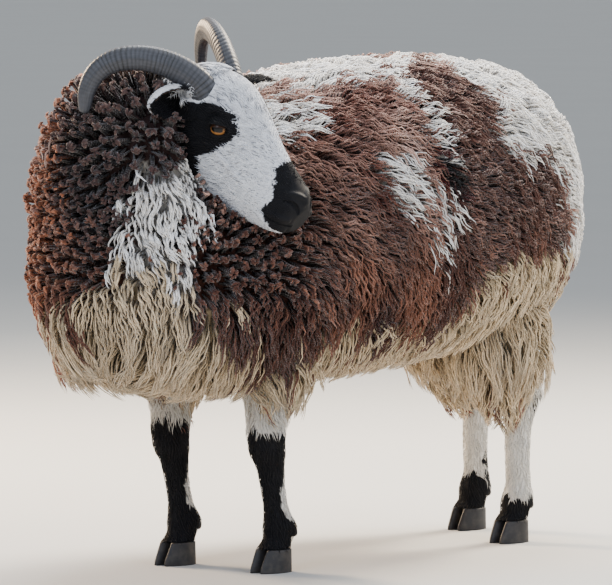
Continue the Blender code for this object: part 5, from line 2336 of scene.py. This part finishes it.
@dataclass(frozen=True)
class HairFinish:
    """Short coarse hair: matt, with a slight silky shine along each tuft."""

    name: str = "short coarse hair"
    roughness: float = 0.62
    grain_mm: float = 1.4
    contrast: tuple = (0.82, 1.12)

    def make(self) -> bpy.types.Material:
        """Builds the material."""
        material, tree, shader = new_material(self.name)
        place = add_node(tree, "TexCoord").outputs["Object"]
        colour = add_node(tree, "Attribute", attribute_name=PELT)
        noise = {"Vector": place, "Scale": 1000 / self.grain_mm, "Detail": 2.0}
        tinted = grained(tree, colour, noise, self.contrast)[1]
        looks = {"Base Color": tinted, "Roughness": self.roughness, "Specular IOR Level": 0.3}
        connect(tree, shader, looks)
        return material


@dataclass(frozen=True)
class SkinFinish:
    """Short-haired skin: fine matt hair, and bare damp skin at the lips and nostrils."""

    name: str = "short-haired skin"
    hair_mm: float = 1.6
    matt: float = 0.82
    damp: float = 0.70
    contrast: tuple = (0.80, 1.12)

    def make(self) -> bpy.types.Material:
        """Builds the material."""
        material, tree, shader = new_material(self.name)
        place = add_node(tree, "TexCoord").outputs["Object"]
        colour = add_node(tree, "Attribute", attribute_name=PELT)
        bare = add_node(tree, "Attribute", attribute_name=BARE).outputs["Fac"]
        noise = {"Vector": place, "Scale": 1000 / self.hair_mm, "Detail": 3.0}
        grain, tinted = grained(tree, colour, noise, self.contrast)
        ends = {"Value": bare, "To Min": self.matt, "To Max": self.damp}
        shine = add_node(tree, "MapRange", ends)
        bump = add_node(tree, "Bump", {"Strength": 0.45, "Distance": 0.0005, "Height": grain})
        looks = {"Base Color": tinted, "Roughness": shine, "Normal": bump}
        connect(tree, shader, looks | {"Specular IOR Level": 0.22})
        return material


@dataclass(frozen=True)
class HornFinish:
    """Horn keratin: slate grey, with a dull shine on the ridges, and the grooves painted darker as
    shade.
    """

    name: str = "weathered horn keratin"
    ridge: str = "#4A4C52"
    groove: str = "#1E1F22"
    roughness: float = 0.48
    streak_counts: tuple = (9.0, 34.0, 1.0)
    contrast: tuple = (0.72, 1.2)

    def make(self) -> bpy.types.Material:
        """Builds the material."""
        material, tree, shader = new_material(self.name)
        growth = add_node(tree, "Attribute", attribute_name=GROWTH)
        split = add_node(tree, "SeparateColor", {"Color": growth})
        place = add_node(tree, "TexCoord").outputs["Object"]
        mottle = add_node(tree, "TexNoise", {"Vector": place, "Scale": 160.0, "Detail": 4.0})
        places = {"X": split.outputs["Red"], "Y": split.outputs["Green"]}
        along = add_node(tree, "CombineXYZ", places)
        stretched = {0: along, 1: self.streak_counts}
        along = add_node(tree, "VectorMath", stretched, operation="MULTIPLY")
        # Painted shade: the grooves between the growth rings are darker, with random mottle added.
        depths = {0: mottle, 1: 0.5, 2: split.outputs["Blue"]}
        deep = add_node(tree, "Math", depths, operation="MULTIPLY_ADD", use_clamp=True)
        ends = {"Factor": deep, 6: self.ridge, 7: self.groove}
        mixed = add_node(tree, "Mix", ends, data_type="RGBA").outputs[2]
        noise = {"Vector": along, "Scale": 1.0, "Detail": 3.0}
        streak, tinted = grained(tree, mixed, noise, self.contrast)
        bump = add_node(tree, "Bump", {"Strength": 0.35, "Distance": 0.0006, "Height": streak})
        looks = {"Base Color": tinted, "Normal": bump, "Roughness": self.roughness}
        connect(tree, shader, looks)
        return material


@dataclass(frozen=True)
class HoofFinish:
    """Hoof horn: near black, dull, with fine level growth lines and dry dust low down."""

    name: str = "dry hoof horn"
    dark: str = "#1F1E20"
    dusty: str = "#4B453F"
    roughness: float = 0.55
    line_mm: float = 1.6

    def make(self) -> bpy.types.Material:
        """Builds the material."""
        material, tree, shader = new_material(self.name)
        place = add_node(tree, "TexCoord").outputs["Object"]
        sizes = {0: place, 1: (40.0, 40.0, 1000 / self.line_mm)}
        flat = add_node(tree, "VectorMath", sizes, operation="MULTIPLY")
        lines = add_node(tree, "TexNoise", {"Vector": flat, "Scale": 1.0, "Detail": 2.0})
        dust = add_node(tree, "TexNoise", {"Vector": place, "Scale": 90.0, "Detail": 4.0})
        span = {"Value": dust, "From Min": 0.45, "From Max": 0.75, "To Max": 0.55}
        amount = add_node(tree, "MapRange", span)
        ends = {"Factor": amount, 6: self.dark, 7: self.dusty}
        colour = add_node(tree, "Mix", ends, data_type="RGBA").outputs[2]
        bump = add_node(tree, "Bump", {"Strength": 0.4, "Distance": 0.0006, "Height": lines})
        looks = {"Base Color": colour, "Normal": bump, "Roughness": self.roughness}
        connect(tree, shader, looks)
        return material


@dataclass(frozen=True)
class EyeFinish:
    """A living eye: amber iris, level dark pupil and a wet clear front.

    The iris is lightest below the pupil, where the light from above falls on it.
    """

    name: str = "sheep's eye, wet cornea"
    amber: str = "#9C6A38"
    brown: str = "#2E1B10"
    rim: str = "#120C0A"
    pupil: str = "#040406"
    iris_radius: float = 0.86
    rim_start: float = 0.84
    pupil_half: tuple = (0.60, 0.25)
    pupil_edge: tuple = (1.25, 0.8)
    wet: float = 0.6
    cornea_ior: float = 1.376

    def make(self) -> bpy.types.Material:
        """Builds the material."""
        material, tree, shader = new_material(self.name)
        gaze = add_node(tree, "Attribute", attribute_name=GAZE).outputs["Vector"]
        centre = {0: gaze, 1: (2.0, 2.0, 0.0), 2: (-1.0, -1.0, 0.0)}
        centred = add_node(tree, "VectorMath", centre, operation="MULTIPLY_ADD")
        split = add_node(tree, "SeparateXYZ", {"Vector": centred})
        fibres = add_node(tree, "TexNoise", {"Vector": centred, "Scale": 11.0, "Detail": 4.0})
        heights = {0: split.outputs["Y"], 1: 2.2, 2: fibres}
        shaded = add_node(tree, "Math", heights, operation="MULTIPLY_ADD", use_clamp=True)
        ends = {"Factor": shaded, 6: self.amber, 7: self.brown}
        iris = add_node(tree, "Mix", ends, data_type="RGBA").outputs[2]
        far = add_node(tree, "VectorMath", {0: centred}, operation="LENGTH").outputs["Value"]
        start = self.iris_radius * self.rim_start
        span = {"Value": far, "From Min": start, "From Max": self.iris_radius}
        edge = add_node(tree, "MapRange", span, interpolation_type="SMOOTHSTEP")
        ends = {"Factor": edge, 6: iris, 7: self.rim}
        ringed = add_node(tree, "Mix", ends, data_type="RGBA").outputs[2]
        halves = {0: centred, 1: (*self.pupil_half, 1.0)}
        slit = add_node(tree, "VectorMath", halves, operation="DIVIDE")
        squared = add_node(tree, "VectorMath", {0: slit, 1: slit}, operation="MULTIPLY")
        reach = add_node(tree, "VectorMath", {0: squared}, operation="LENGTH").outputs["Value"]
        span = {"Value": reach, "From Min": self.pupil_edge[0], "From Max": self.pupil_edge[1]}
        inside = add_node(tree, "MapRange", span, interpolation_type="SMOOTHSTEP")
        ends = {"Factor": inside, 6: ringed, 7: self.pupil}
        final = add_node(tree, "Mix", ends, data_type="RGBA").outputs[2]
        looks = {"Base Color": final, "Roughness": 0.35, "Specular IOR Level": 0.1}
        coat = {"Coat Weight": self.wet, "Coat IOR": self.cornea_ior, "Coat Roughness": 0.03}
        connect(tree, shader, looks | coat)
        return material


@dataclass(frozen=True)
class FloorFinish:
    """A plain pale floor."""

    name: str = "pale matt floor"
    colour: str = "#C9C8C4"
    roughness: float = 0.9
    contrast: tuple = (0.95, 1.03)

    def make(self) -> bpy.types.Material:
        """Builds the material."""
        material, tree, shader = new_material(self.name)
        place = add_node(tree, "TexCoord").outputs["Object"]
        noise = {"Vector": place, "Scale": 1.3, "Detail": 3.0}
        tinted = grained(tree, linear(self.colour), noise, self.contrast, (0.0, 1.0))[1]
        connect(tree, shader, {"Base Color": tinted, "Roughness": self.roughness})
        return material


@dataclass(frozen=True)
class Lamp:
    """A square soft light that shines at the animal's middle.

    Attributes:
        name: Its name.
        place: Where it stands: towards the camera, to the picture's right, and up.
        size: Its side in metres.
        power: Its power in watts.
        colour: Its colour as sRGB hex.
    """

    name: str
    place: tuple
    size: float
    power: float
    colour: str


@dataclass
class Studio:
    """A pale floor, soft light from the front, a bright low light from behind, and the camera.

    Attributes:
        azimuth: Where the camera stands round the animal, in degrees.
        distance: How far away it stands, in metres.
        height: How high it is.
        dip: How far down it looks, in degrees.
        aside: How far its aim is moved along the picture, in metres.
        lens: Its focal length in millimetres.
        sensor: Its sensor's width in millimetres.
        sky: The colour of the light from all round.
        sky_strength: How strong that is.
        lit_height: How high the lamps are aimed.
        floor_side: The floor's side in metres.
        lamps: The lamps.
    """

    azimuth: float = 42.0
    distance: float = 8.0
    height: float = 0.9
    dip: float = 3.73
    aside: float = -0.061
    lens: float = 324.7
    sensor: float = 36.0
    sky: str = "#DCE3EC"
    sky_strength: float = 0.85
    lit_height: float = 0.45
    floor_side: float = 240.0
    lamps: tuple = (
        Lamp("front", (3.2, -1.8, 2.2), 1.5, 46.0, "#DCE8FF"),
        Lamp("side", (2.2, 2.4, 2.6), 2.2, 64.0, "#EAF0FF"),
        Lamp("back_right", (-2.2, 1.9, 2.6), 1.0, 280.0, "#FFF1DC"),
        Lamp("back_left", (-2.0, -2.2, 1.6), 0.8, 210.0, "#FFDFB8"),
        Lamp("top", (-0.9, 0.0, 3.4), 1.6, 150.0, "#FFFFFF"),
    )

    def axes(self) -> tuple[Vector, Vector]:
        """The directions from the animal to the camera, and to the picture's right."""
        turn = math.radians(self.azimuth)
        return (
            Vector((math.sin(turn), -math.cos(turn), 0.0)),
            Vector((math.cos(turn), math.sin(turn), 0.0)),
        )

    def make_camera(self) -> None:
        """Sets the camera where the photograph was taken from."""
        towards, right = self.axes()
        shift = Vector(ORIGIN_SHIFT)
        spot = towards * self.distance + Vector((0, 0, self.height)) + shift
        low = self.height - math.tan(math.radians(self.dip)) * self.distance
        aim = right * self.aside + Vector((0, 0, low)) + shift
        camera = bpy.data.cameras.new("camera")
        camera.lens, camera.sensor_width = self.lens, self.sensor
        camera.clip_end = 2 * self.floor_side
        obj = bpy.data.objects.new("camera", camera)
        obj.location = spot
        obj.rotation_euler = (aim - spot).to_track_quat("-Z", "Y").to_euler()
        bpy.context.scene.collection.objects.link(obj)
        bpy.context.scene.camera = obj

    def make_lights(self) -> None:
        """A cool broad light from the front, and warm ones from behind on both sides."""
        towards, right = self.axes()
        for lamp in self.lamps:
            ahead, aside, up = lamp.place
            light = bpy.data.lights.new(lamp.name, "AREA")
            light.shape, light.size, light.energy = "SQUARE", lamp.size, lamp.power
            light.color = linear(lamp.colour)
            obj = bpy.data.objects.new(lamp.name, light)
            obj.location = towards * ahead + right * aside + Vector((0, 0, up))
            facing = Vector((0, 0, self.lit_height)) - obj.location
            obj.rotation_euler = facing.to_track_quat("-Z", "Y").to_euler()
            bpy.context.scene.collection.objects.link(obj)
        world = bpy.data.worlds.new("studio")
        bpy.context.scene.world = world
        world.use_nodes = True
        backdrop = world.node_tree.nodes["Background"]
        backdrop.inputs["Color"].default_value = (*linear(self.sky), 1.0)
        backdrop.inputs["Strength"].default_value = self.sky_strength

    def make_floor(self) -> None:
        """A wide plain floor."""
        bpy.ops.object.select_all(action="DESELECT")
        bpy.ops.mesh.primitive_plane_add(size=self.floor_side)
        floor = bpy.context.active_object
        floor.name = "floor"
        floor.data.materials.append(FloorFinish().make())


class JacobSheep:
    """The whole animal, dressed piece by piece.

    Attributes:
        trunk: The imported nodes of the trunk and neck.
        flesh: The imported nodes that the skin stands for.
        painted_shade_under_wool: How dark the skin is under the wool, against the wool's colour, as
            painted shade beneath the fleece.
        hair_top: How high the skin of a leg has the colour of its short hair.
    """

    trunk = ("neck", "shoulders", "barrel", "rump", "thigh_left", "thigh_right", "tail")
    flesh = trunk + ("head", "ear_left", "ear_right") + tuple(leg.value for leg in Leg)
    painted_shade_under_wool = 0.6
    hair_top = 0.27

    def __init__(self) -> None:
        """Sets the forms and finishes."""
        self.body, self.head, self.markings = BodyForm(), HeadForm(), Markings()
        self.wool, self.hair = WoolFinish().make(), HairFinish().make()
        self.pelt, self.horn = SkinFinish().make(), HornFinish().make()
        self.hoof, self.eye = HoofFinish().make(), EyeFinish().make()

    def dress(
        self, piece: bpy.types.Object, finish: bpy.types.Material, slot: Slot, replaced: tuple = ()
    ) -> None:
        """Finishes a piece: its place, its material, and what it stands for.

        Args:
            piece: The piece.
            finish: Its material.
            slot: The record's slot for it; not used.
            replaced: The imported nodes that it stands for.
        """
        settled(piece)
        piece.data.materials.clear()
        piece.data.materials.append(finish)
        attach(piece, "root")
        if replaced:
            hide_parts(*replaced)
        piece.data.calc_loop_triangles()
        LOG.info("%s: %d triangles", piece.name, len(piece.data.loop_triangles))

    def make_horns_eyes_hooves(self) -> list:
        """Builds the hard pieces.

        Returns:
            The horns and eyes, which the hair may not enter.
        """
        solid = []
        for side in Side:
            horn, eye = Horn(self.head, side).make(), Eye(self.head, side).make()
            solid += [horn, eye]
        for leg in Leg:
            for sign, label in ((1, "left"), (-1, "right")):
                claw = Claw(leg, sign).make()
                self.dress(claw, self.hoof, Slot.HOOF, (f"hoof_{leg.value}_{label}",))
            self.dress(Dewclaws(leg).make(), self.hoof, Slot.HOOF)
        return solid

    def make(self) -> None:
        """Builds and dresses every piece."""
        solid = self.make_horns_eyes_hooves()
        skin = Skin(self.body, self.head)
        head, body, legs = skin.make_head(), skin.make_body(), skin.make_legs()
        LOG.info("skin: head, body and legs made")
        face = FaceHair(skin, head, self.head, self.markings)
        face_pieces = face.make(tree_of(*solid))
        leg_pieces = [LegHair(leg, legs[leg], self.markings).make() for leg in Leg]
        wool_pieces = Fleece(body, self.head, self.markings, self.body).make(tree_of(head, *solid))
        whole = self.whole_skin(face, head, body, legs)
        self.dress(whole, self.pelt, Slot.HAIR, self.flesh)
        for piece in face_pieces + leg_pieces:
            self.dress(piece, self.hair, Slot.HAIR)
        for piece in wool_pieces:
            self.dress(piece, self.wool, Slot.WOOL)
        for side, (horn, eye) in zip(Side, zip(solid[::2], solid[1::2])):
            self.dress(horn, self.horn, Slot.HORN, (f"horn_{side.label}",))
            self.dress(eye, self.eye, Slot.EYE, (f"eye_{side.label}",))

    def whole_skin(
        self, face: FaceHair, head: bpy.types.Object, body: bpy.types.Object, legs: dict
    ) -> bpy.types.Object:
        """Joins the skin into one surface and colours it as the coat over it, darkened under the
        wool as painted shade.

        Args:
            face: The hair of the face, whose colours the skin shares.
            head: The skin of the head.
            body: The skin under the fleece.
            legs: The skin of each leg.

        Returns:
            The skin.
        """
        near_head, near_legs = tree_of(head), {leg: tree_of(legs[leg]) for leg in Leg}
        whole = fused(head, [body, *legs.values()], "UNION")
        whole.name = "skin"
        points, normals = point_field(whole), normal_field(whole)
        colours = self.markings.of_fleece(points, np.random.default_rng(19))
        colours[self.head.behind_cheek(points)] = Tint.BLACK_WOOL.light
        # Painted shade: the skin under the fleece takes the wool's colours, darkened for the shadow
        # beneath the wool.
        colours *= self.painted_shade_under_wool
        bare = np.zeros(len(points))
        for leg, tree in near_legs.items():
            on = touching(points, tree) & (points[:, 2] < self.hair_top)
            colours[on] = self.markings.of_leg(leg, points[on])
        on = touching(points, near_head)
        of_face = face.place_colours(points[on], normals[on])
        colours[on], bare[on] = of_face[0], of_face[1]
        paint(whole, colours)
        paint(whole, np.repeat(bare[:, None], 3, axis=1), BARE)
        whole.data.shade_smooth()
        return whole


def main() -> None:
    """Dresses the sheep and sets the studio."""
    logging.basicConfig(level=logging.INFO, format="%(message)s")
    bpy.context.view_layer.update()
    JacobSheep().make()
    studio = Studio()
    studio.make_floor()
    studio.make_lights()
    studio.make_camera()


if __name__ == "__main__":
    main()
